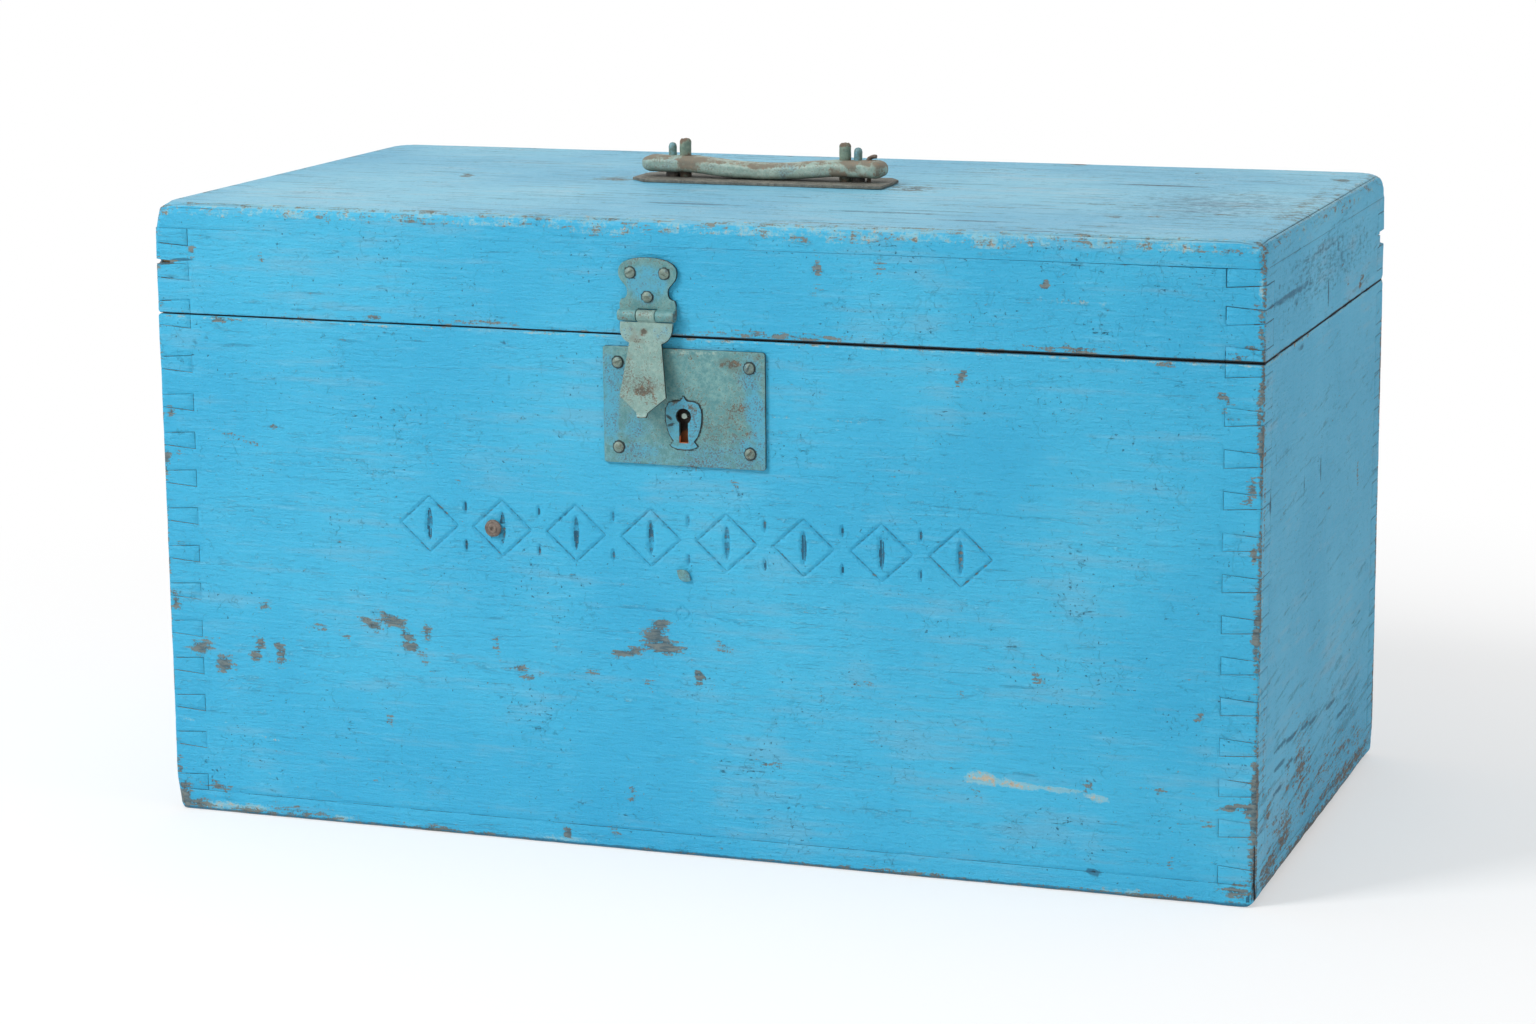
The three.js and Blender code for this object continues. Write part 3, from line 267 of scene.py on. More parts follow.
def bluePaint(name, grain, scuffTurn=(0, 0, 0), scuffThin=2, **changes):
    look = {**bluePaintLook, **changes}
    material, tree, shader = freshMaterial(name)
    field = paintFields(tree, grain)
    brush, hair, blotch, grit = (field[part] for part in ("brush", "hair", "blotch", "grit"))
    bareAt, paleAt, grimeAt, scuffAt = wearLayers(tree)
    pits = total(tree, cloud(tree, field["where"], 520, 2), offset(tree, field["patch"], 0.3))
    pits = ramp(tree, pits, 0.695, 0.75, 0.0, 0.8)
    cracks = fineCracks(tree, look, field)
    ridgeAndHighlight = paintRidges(tree, field)
    colour = blueCoats(tree, look, field, pits)
    # painted highlight: the ridges are lightened
    colour = coat(tree, calc(tree, "MULTIPLY", ridgeAndHighlight, 0.5), colour, tint(*look["brushMark"]))
    # grime with painted shade, pale undercoat with painted highlights, scuffs and bare wood, where the wear
    # layer has them
    grimeField = total(tree, grimeAt, offset(tree, hair, 0.9), offset(tree, blotch, 0.7))
    colour = coat(tree, ramp(tree, grimeField, 0.4, 0.8, 0.0, 0.8), colour, tint(*look["grime"]))
    undercoat = ramp(tree, total(tree, blotch, offset(tree, paleAt, 0.2)), 0.6, 0.7)
    undercoat = coat(tree, undercoat, tint(*look["paleCoat"]), tint(*look["creamCoat"]))
    paleField = total(tree, offset(tree, blotch, 1.3), offset(tree, brush, 0.5), offset(tree, grit, 0.4))
    paleField = total(tree, paleAt, paleField)
    colour = coat(tree, ramp(tree, paleField, 0.5, 0.75, 0.0, 0.8), colour, undercoat)
    scuff = scuffMask(tree, field, scuffAt, scuffTurn, scuffThin)
    wood = coat(tree, ramp(tree, hair, 0.35, 0.65), tint(*look["bareDark"]), tint(*look["bareWood"]))
    ragged = total(tree, offset(tree, blotch, 1.2), offset(tree, hair, 2.3), offset(tree, grit, 1.2))
    bareField = total(tree, bareAt, ragged, calc(tree, "MULTIPLY", scuff, 0.3))
    bareMask = ramp(tree, bareField, 0.5, 0.76, 0.0, 0.88)
    # the near-black gap colour: painted shade in the seam between lid and body, and the darkest cracks and
    # splits
    gapMask = ramp(tree, total(tree, grimeAt, offset(tree, blotch, 0.5)), 1.1, 1.4)
    colour = coat(tree, calc(tree, "MULTIPLY", scuff, 0.45), colour, tint(*look["grime"]))
    colour = coat(tree, bareMask, colour, wood)
    colour = coat(tree, calc(tree, "MULTIPLY", cracks, 0.7), colour, tint(*look["crack"]))
    colour = coat(tree, gapMask, colour, tint(*look["gap"]))
    tree.links.new(colour, shader.inputs["Base Color"])
    gloss = total(tree, look["gloss"], calc(tree, "MULTIPLY", bareMask, 0.35), offset(tree, blotch, 0.25))
    tree.links.new(gloss, shader.inputs["Roughness"])
    shader.inputs["Specular IOR Level"].default_value = look["shine"]
    layers = [
        (brush, 0.5), (hair, 0.8), (grit, 0.5), (blotch, 0.3), (ridgeAndHighlight, 0.3),
        (cracks, -0.4), (bareMask, -0.25), (pits, -0.25), (scuff, -0.2),
    ]
    height = total(tree, *[calc(tree, "MULTIPLY", layer, weight) for layer, weight in layers])
    relief(tree, shader, height, look["relief"])
    return material


# unpainted pine inside the chest
pineLook = {
    "pale": (204, 172, 126),
    "ring": (170, 130, 86),
    "soiled": (116, 92, 68),
    "rough": 0.72,
    "relief": 0.1 * mm,
}


def agedPine(name, grain):
    look = pineLook
    material, tree, shader = freshMaterial(name)
    where = place(tree)
    along = [1.0, 1.0, 1.0]
    along[grain] = 0.05
    grainField = cloud(tree, stretched(tree, where, along), 85, 4, 0.55)
    rings = calc(tree, "FRACT", calc(tree, "MULTIPLY", grainField, 9.0))
    ringMask = ramp(tree, rings, 0.35, 0.95, 0.0, 0.75)
    fibre = cloud(tree, stretched(tree, where, along), 900, 3, 0.6)
    colour = coat(tree, ringMask, tint(*look["pale"]), tint(*look["ring"]))
    colour = coat(tree, ramp(tree, fibre, 0.5, 0.8, 0.0, 0.35), colour, tint(*look["soiled"]))
    soil = cloud(tree, where, 12, 5, 0.6)
    colour = coat(tree, ramp(tree, soil, 0.45, 0.75, 0.0, 0.6), colour, tint(*look["soiled"]))
    tree.links.new(colour, shader.inputs["Base Color"])
    shader.inputs["Roughness"].default_value = look["rough"]
    relief(tree, shader, total(tree, fibre, calc(tree, "MULTIPLY", ringMask, -0.4)), look["relief"])
    return material


# grey-green painted iron of the hasp, the lock plate and the handle bar
greenIronLook = {
    "green": (78, 134, 138),
    "greenPale": (118, 164, 162),
    "blue": (74, 162, 190),
    "stain": (104, 118, 108),
    "rust": (86, 80, 70),
    "rustBright": (122, 98, 76),
    # dark: nicks and dirt, and painted shade on side faces, under the bar and on the screws' flanks
    "dark": (36, 44, 44),
    # edge: pale worn paint, and the painted highlight on the bevelled edges of the hasp
    "edge": (172, 190, 180),
    "freshRust": (226, 128, 74),
    "metal": 0.1,
    "rough": 0.5,
    "relief": 0.22 * mm,
}


def greenIron(name, rustier=0.0, **changes):
    look = {**greenIronLook, **changes}
    material, tree, shader = freshMaterial(name)
    where = place(tree)
    patch = cloud(tree, where, 48, 6, 0.65)
    mottle = cloud(tree, where, 330, 7, 0.7)
    grit = cloud(tree, where, 1100, 4, 0.68)
    rustAt, blueAt, darkAt, paleAt = wearLayers(tree)
    shadeField = total(tree, mottle, offset(tree, grit, 0.5))
    colour = coat(tree, ramp(tree, shadeField, 0.32, 0.68), tint(*look["green"]), tint(*look["greenPale"]))
    blueField = total(tree, offset(tree, mottle, 1.5), offset(tree, patch, 1.0), offset(tree, grit, 0.5))
    blueField = total(tree, blueAt, blueField)
    colour = coat(tree, ramp(tree, blueField, 0.34, 0.78, 0.0, 0.95), colour, tint(*look["blue"]))
    stainField = total(tree, cloud(tree, where, 95, 6, 0.7), offset(tree, rustAt, 0.4))
    colour = coat(tree, ramp(tree, stainField, 0.44, 0.66, 0.0, 0.62), colour, tint(*look["stain"]))
    speck = total(tree, grit, offset(tree, patch, 0.6), offset(tree, mottle, 0.5))
    colour = coat(tree, ramp(tree, speck, 0.5, 0.68, 0.0, 0.72), colour, tint(*look["rust"]))
    rusts = coat(tree, ramp(tree, mottle, 0.52, 0.68), tint(*look["rust"]), tint(*look["rustBright"]))
    ragged = total(tree, offset(tree, mottle, 1.4), offset(tree, grit, 0.9), offset(tree, patch, 0.7))
    rustMask = ramp(tree, total(tree, rustAt, rustier, ragged), 0.5, 0.74, 0.0, 0.86)
    colour = coat(tree, rustMask, colour, rusts)
    colour = coat(tree, ramp(tree, rustAt, 1.3, 1.7), colour, tint(*look["freshRust"]))
    # dark: nicks, dirt and painted shade from the wear layer
    darkMask = ramp(tree, total(tree, darkAt, offset(tree, grit, 0.5)), 0.4, 0.75, 0.0, 0.9)
    colour = coat(tree, darkMask, colour, tint(*look["dark"]))
    # pale: worn paint and painted highlights from the wear layer
    paleMask = ramp(tree, total(tree, paleAt, offset(tree, mottle, 1.2), -0.1), 0.5, 0.8, 0.0, 0.7)
    colour = coat(tree, paleMask, colour, tint(*look["edge"]))
    tree.links.new(colour, shader.inputs["Base Color"])
    shader.inputs["Metallic"].default_value = look["metal"]
    rough = total(tree, look["rough"], calc(tree, "MULTIPLY", rustMask, 0.3))
    tree.links.new(rough, shader.inputs["Roughness"])
    height = total(
        tree,
        calc(tree, "MULTIPLY", grit, 0.6),
        calc(tree, "MULTIPLY", mottle, 0.8),
        calc(tree, "MULTIPLY", rustMask, -0.35),
    )
    relief(tree, shader, height, look["relief"])
    return material


# bare iron that has rusted brown
rustIronLook = {
    "brown": (102, 88, 78),
    "brownPale": (136, 118, 104),
    "orange": (142, 98, 70),
    "dark": (52, 47, 42),
    "paint": (112, 150, 150),
    "metal": 0.2,
    "rough": 0.74,
    "relief": 0.16 * mm,
}


def rustIron(name, painted=0.0, darker=0.0, **changes):
    look = {**rustIronLook, **changes}
    material, tree, shader = freshMaterial(name)
    where = place(tree)
    patch = cloud(tree, where, 90, 5, 0.6)
    mottle = cloud(tree, where, 380, 6, 0.68)
    grit = cloud(tree, where, 1500, 4, 0.65)
    colour = coat(tree, ramp(tree, mottle, 0.35, 0.68), tint(*look["brown"]), tint(*look["brownPale"]))
    orangeField = total(tree, patch, offset(tree, grit, 0.3))
    colour = coat(tree, ramp(tree, orangeField, 0.58, 0.72, 0.0, 0.5), colour, tint(*look["orange"]))
    darkField = total(tree, offset(tree, grit, 1.2), offset(tree, patch, -0.6), 0.4 + darker)
    colour = coat(tree, ramp(tree, darkField, 0.5, 0.75, 0.0, 0.85), colour, tint(*look["dark"]))
    paintField = total(tree, patch, offset(tree, mottle, 0.9), painted)
    colour = coat(tree, ramp(tree, paintField, 0.62, 0.78, 0.0, 0.85), colour, tint(*look["paint"]))
    tree.links.new(colour, shader.inputs["Base Color"])
    shader.inputs["Metallic"].default_value = look["metal"]
    shader.inputs["Roughness"].default_value = look["rough"]
    relief(tree, shader, total(tree, grit, mottle), look["relief"])
    return material


# oiled iron inside the lock, with fresh rust where the keyhole lets the damp in
oiledIronLook = {
    "dark": (62, 58, 54),
    "pale": (98, 90, 82),
    "rust": (112, 80, 56),
    "freshRust": (248, 160, 104),
    "rustReach": 8 * mm,
    "metal": 0.35,
    "rough": 0.48,
    "relief": 0.08 * mm,
}


def darkIron(name, rustFoot=None):
    look = oiledIronLook
    material, tree, shader = freshMaterial(name)
    where = place(tree)
    mottle = cloud(tree, where, 300, 5, 0.6)
    grit = cloud(tree, where, 1600, 3, 0.6)
    colour = coat(tree, ramp(tree, mottle, 0.35, 0.7), tint(*look["dark"]), tint(*look["pale"]))
    colour = coat(tree, ramp(tree, grit, 0.6, 0.75, 0.0, 0.6), colour, tint(*look["rust"]))
    if rustFoot:
        away = put(tree, "ShaderNodeVectorMath", {0: where, 1: rustFoot}, operation="DISTANCE")
        away = total(tree, away.outputs["Value"], offset(tree, mottle, 5 * mm))
        mask = ramp(tree, away, look["rustReach"], look["rustReach"] - 3 * mm)
        colour = coat(tree, mask, colour, tint(*look["freshRust"]))
    tree.links.new(colour, shader.inputs["Base Color"])
    shader.inputs["Metallic"].default_value = look["metal"]
    shader.inputs["Roughness"].default_value = look["rough"]
    relief(tree, shader, grit, look["relief"])
    return material


# the top and the sides get paler, greyer copies of the blue, as painted sheen for how they catch the light;
# the sides are also duller, and the joints hold dirt
topPaintedSheenChanges = {
    "deep": (98, 174, 205), "light": (130, 197, 219), "haze": (162, 188, 202), "brushMark": (158, 211, 227),
}
sidePaintedSheenChanges = {
    "deep": (86, 175, 211), "light": (104, 190, 223), "haze": (142, 180, 202), "brushMark": (118, 196, 224),
    "bareWood": (140, 122, 104), "bareDark": (92, 84, 78), "gloss": 0.62, "shine": 0.2,
}
jointChanges = {
    "deep": (26, 72, 92), "light": (44, 112, 140), "haze": (60, 104, 116), "brushMark": (50, 120, 146),
}
paints = [
    bluePaint("blue_paint_front", 0),
    # painted sheen: a greyer blue on the sides
    bluePaint("blue_paint_sides_painted_sheen", 1, (math.radians(-5), 0, 0), **sidePaintedSheenChanges),
    # painted sheen: a paler blue on the top
    bluePaint("blue_paint_top_painted_sheen", 0, (0, 0, math.radians(2)), 1, **topPaintedSheenChanges),
]
jointPaint = bluePaint("dirty_joint_paint", 0, **jointChanges)
pines = {"acrossX": agedPine("aged_pine_across", 0), "acrossY": agedPine("aged_pine_deep", 1)}

# how the irons differ from the looks above
flapChanges = {"green": (112, 148, 142), "greenPale": (144, 174, 166), "stain": (124, 126, 112)}
screwChanges = {"green": (96, 120, 112), "greenPale": (142, 160, 148), "blue": (96, 156, 172)}
barChanges = {
    "green": (132, 158, 148), "greenPale": (176, 196, 184), "blue": (108, 170, 186),
    "stain": (142, 138, 120), "rust": (120, 112, 98), "rustBright": (146, 118, 94),
}
boltChanges = {
    "green": (104, 124, 110), "greenPale": (136, 154, 136), "blue": (104, 130, 124),
    "stain": (112, 112, 98), "rust": (104, 86, 72), "rustBright": (132, 98, 76),
}
ringChanges = {"orange": (120, 94, 80), "brown": (98, 88, 82), "brownPale": (134, 122, 112)}
plateChanges = {"orange": (122, 106, 90), "brown": (96, 98, 92), "brownPale": (136, 134, 124)}
keyholeFoot = (0.7 * mm, -155 * mm, 226 * mm)
irons = {
    "green": greenIron("green_painted_iron"),
    "flap": greenIron("rubbed_flap_iron", 0.04, **flapChanges),
    "screw": greenIron("screw_heads", **screwChanges),
    "bar": greenIron("green_painted_bar", **barChanges),
    "bolt": greenIron("worn_bolt_iron", **boltChanges),
    "rust": rustIron("rusty_iron"),
    "rustPainted": rustIron("rusty_iron_with_paint", 0.12),
    "ring": rustIron("ring_nail_iron", -0.1, **ringChanges),
    "plate": rustIron("rusty_plate", -0.02, 0.12, **plateChanges),
    "dark": darkIron("oiled_iron"),
    "lock": darkIron("oiled_lock_iron", keyholeFoot),
}
print("materials mixed")


# marks on the front, in millimetres: across, up, half length, half height, lean, strength
frontMarks = {
    "bare": [
        (-188, 117, 6, 1.6, -12, 0.9), (-184, 114, 5, 2.0, -8, 1.0), (-172, 118, 8, 2.8, -8, 1.1),
        (-177, 121, 3, 1.5, -30, 1.0), (-163, 110, 5, 2.2, -38, 0.9), (-161, 104, 7, 2.4, -15, 0.9),
        (-152, 113, 2.6, 4.0, 0, 0.9), (-154, 97, 3, 5, 30, 0.5), (-291, 95, 7, 4.4, 10, 0.95),
        (-277, 86, 5.5, 4.6, 0, 1.0), (-254, 99, 2.6, 6, -15, 0.9), (-257, 92, 3, 4, -30, 0.9),
        (-242, 99, 4.4, 1.2, 0, 0.9), (-241, 94, 2.6, 6, 0, 1.0), (-251, 121, 4, 2, 0, 0.7),
        (-202, 107, 3.4, 2.2, 0, 0.6), (-15, 127, 6, 2.4, 8, 1.0), (-18, 121, 6, 4.2, 0, 1.1),
        (-14, 115, 11, 3.2, -4, 1.15), (-36, 110, 10, 1.6, 4, 0.95), (-28, 113, 8, 1.4, 10, 0.8),
        (-111, 108, 2, 7, 0, 0.62), (-97, 97, 5, 1.2, -15, 0.8), (-91, 93, 7, 1.2, 12, 0.8),
        (-54, 97, 4, 1.4, 10, 0.7), (24, 116, 3, 3, -20, 0.62), (-23, 94, 2.5, 5, 10, 0.5),
        (193, 114, 2.6, 3.4, 40, 0.75), (191, 119, 2, 1.4, 0, 0.6), (99, 103, 5, 1.2, 0, 0.62),
        (152, 102, 2.6, 2, 0, 0.62), (289, 265, 2.2, 2.4, -40, 1.0), (292, 261, 2.4, 2.4, 0, 0.7),
        (305, 219, 1.8, 5, 0, 0.95), (303, 212, 1.8, 2.6, 0, 0.8), (306, 186, 1.4, 5, 0, 0.8),
        (298, 53, 8, 1.3, 8, 0.9), (306, 53, 2.6, 4, 0, 0.95), (279, 99, 1.6, 3, -20, 0.8),
        (258, 59, 6, 1.4, -4, 0.6), (284, 43, 5, 1.6, 0, 0.6), (262, 20, 6, 1.4, 0, 0.6),
        (74.5, 322, 1.8, 5.4, 0, 0.85), (72, 311, 2.2, 1.8, 0, 0.8), (108, 324, 2.6, 6, 0, 0.6),
        (153, 270, 2.6, 2.2, 20, 1.1), (150.6, 266.6, 2.0, 0.9, 0, 1.0), (-178, 286, 6, 1.2, 0, 0.75),
        (-241, 223, 2.4, 1.8, 0, 0.85), (-268, 216.5, 11, 1.2, -6, 0.6), (-251, 212, 8, 1.1, -4, 0.62),
        (-308, 203, 2.4, 4, 0, 1.0), (47, 55, 12, 1.1, 0, 0.6), (-300, 205, 2.4, 3, 0, 0.5),
        (-306, 120, 2.2, 4, 0, 0.9), (-304, 228, 2, 2.4, 0, 0.9), (-33, 32, 2.6, 3.6, 0, 0.7),
        (-176, 64, 3, 6, 0, 0.4), (28, 205, 4, 2, 0, 0.5), (-304, 14, 6, 3, 0, 0.7),
        (-285, 15, 8, 1.6, 0, 0.75), (-230, 4, 30, 2.4, -2, 0.6), (-120, 286, 26, 1.4, 0, 0.5),
        (60, 286, 60, 1.6, 0, 0.62), (210, 286, 30, 1.8, 0, 0.6), (262, 281, 8, 1.4, 0, 0.6),
        (297, 286, 4, 1.6, 10, 0.75), (-270, 281, 8, 1.2, 0, 0.7), (-245, 316, 3, 2.2, 0, 0.6),
        (-298, 322, 2.5, 2, 0, 0.8), (-288, 318, 1.4, 3.4, 0, 0.9), (308, 143, 1.6, 24, 0, 0.85),
        (308, 24, 2.2, 20, 0, 0.8), (308, 254, 1.2, 22, 0, 0.7), (308, 300, 1.2, 16, 0, 0.7),
        (304, 291, 3, 1.6, 0, 0.75), (305, 312, 2, 1.4, 0, 0.7), (-306, 7, 5, 6, 0, 1.0),
        (-296, 4, 10, 2.4, 0, 0.9), (-262, 2, 24, 2, 0, 0.7), (22, 117, 5, 3, -10, 0.55),
        (-218, 111, 6, 3, 10, 0.5), (-44, 10, 5, 1.6, 0, 0.7), (-308, 20, 3, 16, 0, 0.6),
        (300, 9, 8, 4, 0, 0.8),
    ],
    # the pale mark at 308, 322 on the right upright under the lid's top is a painted highlight on the rounded
    # edge
    "pale": [
        (164, 57, 9, 2.8, -3, 1.6), (184, 55, 13, 1.5, -3, 1.5), (206, 54, 14, 1.2, -2, 1.3),
        (226, 51.5, 7, 1.7, -10, 1.2), (-299, 53, 7, 1.4, 0, 0.8), (-278, 53, 7, 1.6, -4, 0.6),
        (-252, 46, 16, 1.0, -6, 0.6), (49, 55.5, 14, 1.0, 0, 0.65), (240, 29, 10, 1.4, 0, 0.6),
        (215, 27, 5, 1.0, 0, 0.6), (60, 243, 30, 1.2, -2, 0.62), (95, 242, 30, 0.9, -2, 0.6),
        (-32, 193, 8, 12, 0, 0.34), (150, 226, 16, 8, 0, 0.3), (-262, 4, 18, 2.4, 0, 0.9),
        (215, 310, 44, 2.6, -3, 0.56), (205, 325, 26, 1.2, -1, 0.5), (288.5, 335, 0.4, 9, 0, 1.2),
        (308, 322, 1.6, 16, 0, 0.7), (308, 272, 1.2, 12, 0, 0.5), (240, 3, 16, 2.0, 0, 0.8),
        (-205, 3, 10, 2, 0, 0.8), (302, 276, 5, 2.4, 0, 0.5), (70, 28, 6, 1, 0, 0.5),
        (-140, 25, 8, 1, 0, 0.5), (-284, 4, 22, 2.6, 0, 0.9), (-70, 3, 26, 2, 0, 0.7),
        (-30, 205, 6, 1, 0, 0.5), (120, 3, 30, 2, 0, 0.6), (-250, 25, 5, 1.2, 0, 0.6),
    ],
    "grime": [
        (-242, 223, 14, 0.9, -2, 0.72), (178, 53.6, 7, 0.2, -2, 1.7), (224, 12.2, 3, 0.6, 0, 1.6),
        (-236, 224, 3, 2.4, 0, 0.5), (215, 309, 50, 2.6, -3, 0.5), (60, 11.6, 90, 0.8, 0, 0.3),
        (-101, 256, 1.0, 5, 0, 0.9), (-240, 62, 10, 8, 0, 0.3), (-268, 40, 10, 10, 0, 0.25),
        (-288, 268, 3, 4, -30, 0.5), (-281, 270, 1.2, 1.2, 0, 1.0), (-293, 313.4, 8, 0.4, 4, 1.3),
        (-290, 303.4, 26, 0.4, -2, 0.9), (-225, 289, 40, 0.6, -4, 0.66), (-103, 276, 1.4, 1.4, 0, 0.9),
        (274, 319, 30, 0.4, 0, 0.6), (230, 305, 60, 0.5, 0, 0.6), (215.5, 287.6, 0.1, 3.4, -22, 1.15),
        (190, 324, 60, 0.8, 0, 0.6), (-172, 278, 6, 0.8, 20, 0.6), (200, 290, 40, 2, 0, 0.3),
        (298, 287, 8, 3, 0, 0.5), (-17, 290, 24, 3, 0, 0.35), (20, 297, 50, 6, 0, 0.2),
        (180, 300, 60, 6, 0, 0.25), (-150, 300, 60, 8, 0, 0.15), (0.5, 245, 47, 33, 0, 0.12),
    ],
}

# marks on the lid's top: across, back from the middle, half length, half width, lean, strength
topMarks = {
    "bare": [
        (-106, 12, 14, 12, 0, 0.6), (70, 12, 16, 18, 0, 0.62), (60, -146, 60, 3, 0, 0.4),
        (180, -140, 60, 4, 0, 0.4), (-120, -148, 80, 3, 0, 0.35), (240, -120, 40, 3, 0, 0.35),
        (120, -60, 40, 2.4, 2, 0.46), (200, -30, 50, 2.4, 0, 0.42), (60, -20, 40, 2.0, 0, 0.4),
        (-60, -60, 40, 2, 0, 0.4), (-200, -30, 50, 2, 0, 0.36), (150, 90, 40, 2.0, 0, 0.5),
        (90, 115, 36, 1.8, 0, 0.45), (226, 4, 20, 2, 0, 0.4), (297, 0, 6, 150, 0, 0.42),
        (252, 30, 26, 3, 4, 0.5), (262, -60, 20, 3, 0, 0.45), (130, -154, 30, 2, 0, 0.6),
    ],
    "pale": [(-240, -150, 60, 6, 0, 0.5), (-60, -152, 70, 5, 0, 0.5), (290, 0, 8, 150, 0, 0.4)],
    "grime": [
        (-20, -88, 36, 3, 0, 1.1), (-110, -74, 50, 3, 0, 0.6), (90, -96, 40, 3, 0, 0.9),
        (150, -118, 30, 3, 0, 0.9), (250, -20, 80, 120, 0, 0.6), (190, -150, 40, 2.4, 0, 0.8),
        (90, 40, 40, 2.4, 0, 0.8), (-170, 10, 40, 2.2, 0, 0.6), (200, 62, 26, 1.6, -1, 1.8),
        (222, 61, 14, 0.6, 0, 1.5), (-60, -52, 40, 1.4, 1, 0.9), (-30, -64, 30, 1.0, 0, 0.8),
        (110, -84, 34, 1.4, 0, 0.9), (160, -58, 40, 1.2, 1, 0.8), (20, -110, 40, 1.2, 0, 0.7),
        (-200, -90, 60, 1.2, 0, 0.5), (250, 96, 30, 1.4, 0, 0.8), (60, 96, 40, 1.2, 0, 0.7),
        (-150, 90, 50, 1.4, 0, 0.5), (210, -104, 40, 1.2, 0, 0.7), (-18, 21, 92, 32, 0, 0.34),
        (285, 0, 12, 150, 0, 0.4), (66, 10, 16, 22, 0, 0.5), (130, 40, 60, 5, 0, 0.4),
        (70, -40, 70, 4, 0, 0.42), (-20, -86, 80, 4, 0, 0.3), (150, -100, 90, 5, 0, 0.4),
        (-170, 60, 80, 4, 0, 0.3), (240, 60, 50, 5, 0, 0.45), (40, 120, 60, 4, 0, 0.42),
        (-230, -60, 60, 5, 0, 0.25),
    ],
}

# marks on the right side: back from the middle, up, half length, half height, lean, strength
sideMarks = {
    "bare": [
        (-30, 4, 120, 5, 0, 0.85), (-128, 12, 22, 8, 0, 0.7), (-90, 24, 26, 12, -4, 0.62),
        (-50, 44, 18, 20, -8, 0.56), (90, 10, 60, 6, 0, 0.62), (-132, 42, 5, 14, 0, 0.52),
        (-118, 30, 10, 8, 0, 0.46), (-60, 60, 8, 22, -6, 0.36), (-30, 44, 10, 20, -8, 0.42),
        (10, 30, 40, 10, 4, 0.4), (60, 26, 50, 9, 2, 0.4), (110, 22, 40, 7, 0, 0.42),
        (-146, 80, 3, 60, 0, 0.32), (-154, 200, 2, 60, 0, 0.5), (0, 3, 150, 3, 0, 0.7),
        (95, 182, 3, 10, 0, 0.5), (-96, 18, 16, 5, 0, 0.5), (-84, 52, 6, 12, 0, 0.44),
        (-40, 22, 30, 6, 2, 0.5), (40, 14, 50, 5, 0, 0.5), (-145, 12, 8, 7, 0, 0.6),
        (157, 230, 2, 30, 0, 0.8), (157, 130, 2, 40, 0, 0.8), (157, 40, 2, 30, 0, 0.7),
    ],
    "pale": [(-156.5, 150, 1.2, 130, 0, 0.9), (-20, 336, 150, 4, 0, 0.5), (-158, 300, 2, 30, 0, 0.5)],
    "grime": [
        (0, 50, 140, 46, 0, 0.22), (-60, 100, 60, 60, 0, 0.2), (-30, 325, 120, 3, 0, 0.35),
        (0, 312, 240, 26, 0, 0.55), (-128, 228, 1.4, 6, 0, 0.8), (-70, 278, 10, 1.6, 0, 0.8),
        (0, 297, 0.8, 7, 0, 1.4), (26, 318, 0.8, 5, 0, 1.3), (-140, 208, 1, 6, 0, 1.4),
        (-12, 202, 1, 8, 6, 1.3), (-56, 203, 0.9, 6, 0, 1.2), (-100, 310, 70, 1, 0, 0.9),
        (20, 306, 80, 0.8, 0, 0.8), (-20, 322, 120, 0.8, 0, 0.8), (-90, 71, 34, 0.8, -3, 1.3),
        (-30, 66, 30, 0.8, -5, 1.2), (30, 62, 34, 0.8, -4, 1.1), (-104, 62, 18, 1.0, -3, 1.2),
        (-70, 56, 26, 0.8, -4, 1.1), (-110, 50, 18, 0.9, -2, 1.1), (60, 50, 36, 0.8, -2, 1.0),
        (100, 96, 20, 0.8, 6, 0.9),
    ],
}


noMarks = {"bare": [], "pale": [], "grime": []}


def markStrength(across, up, marks):
    # how strongly the nearest mark covers a place, 0 where none does
    most = 0.0
    for markX, markY, long, high, lean, strength in marks:
        dx, dy = across - markX, up - markY
        reach = 1.7 * max(long, high)
        if abs(dx) > reach or abs(dy) > reach:
            continue
        turn = math.radians(lean)
        u = (dx * math.cos(turn) + dy * math.sin(turn)) / (long + 0.6)
        v = (dy * math.cos(turn) - dx * math.sin(turn)) / (high + 0.6)
        most = max(most, strength * math.exp(-0.9 * (u * u + v * v)))
    return most


# a plain carved row of lozenges where the front is carved, and a thin flourish under it
carving = {
    "middleUp": 174.0,
    "firstAcross": -149.0,
    "step": 43.0,
    "count": 8,
    "halfWide": 17.0,
    "halfHigh": 15.5,
    "cutWide": 1.35,
    "leafLong": 9.5,
    "leafWide": 2.8,
    "deep": 1.55,
    "reach": 180.0,
    "foot": 125.0,
    "head": 200.0,
    # left, right, low and high of the places that need a finer net
    "fineNet": [(-172, 176, 150, 198), (-36, 33, 127, 140)],
}


# a stroke holds both its ends, its width and how far it tapers, in millimetres

def lozengeStrokes(x, z, halfWide, halfHigh, wide, taper):
    corners = [(x - halfWide, z), (x, z + halfHigh), (x + halfWide, z), (x, z - halfHigh)]
    return [(*corners[side], *corners[(side + 1) % 4], wide, taper) for side in range(4)]


def carvedStrokes():
    strokes = []
    c = carving
    for number in range(c["count"]):
        x = c["firstAcross"] + number * c["step"]
        z = c["middleUp"]
        strokes += lozengeStrokes(x, z, c["halfWide"], c["halfHigh"], c["cutWide"], 0.35)
        strokes.append((x, z - c["leafLong"], x, z + c["leafLong"], c["leafWide"], 1.0))
        if number:
            between = x - c["step"] / 2
            for up in (-1, 1):
                strokes.append((between, z + up * 7.0, between, z + up * 14.0, 1.7, 1.0))
    # the flourish: a small lozenge between two strokes
    strokes.append((-34, 135, -9, 134, 0.9, 0.6))
    strokes.append((5, 134, 31, 131, 0.9, 0.6))
    strokes += lozengeStrokes(-2, 134, 4.5, 4.5, 0.7, 0.2)
    return strokes


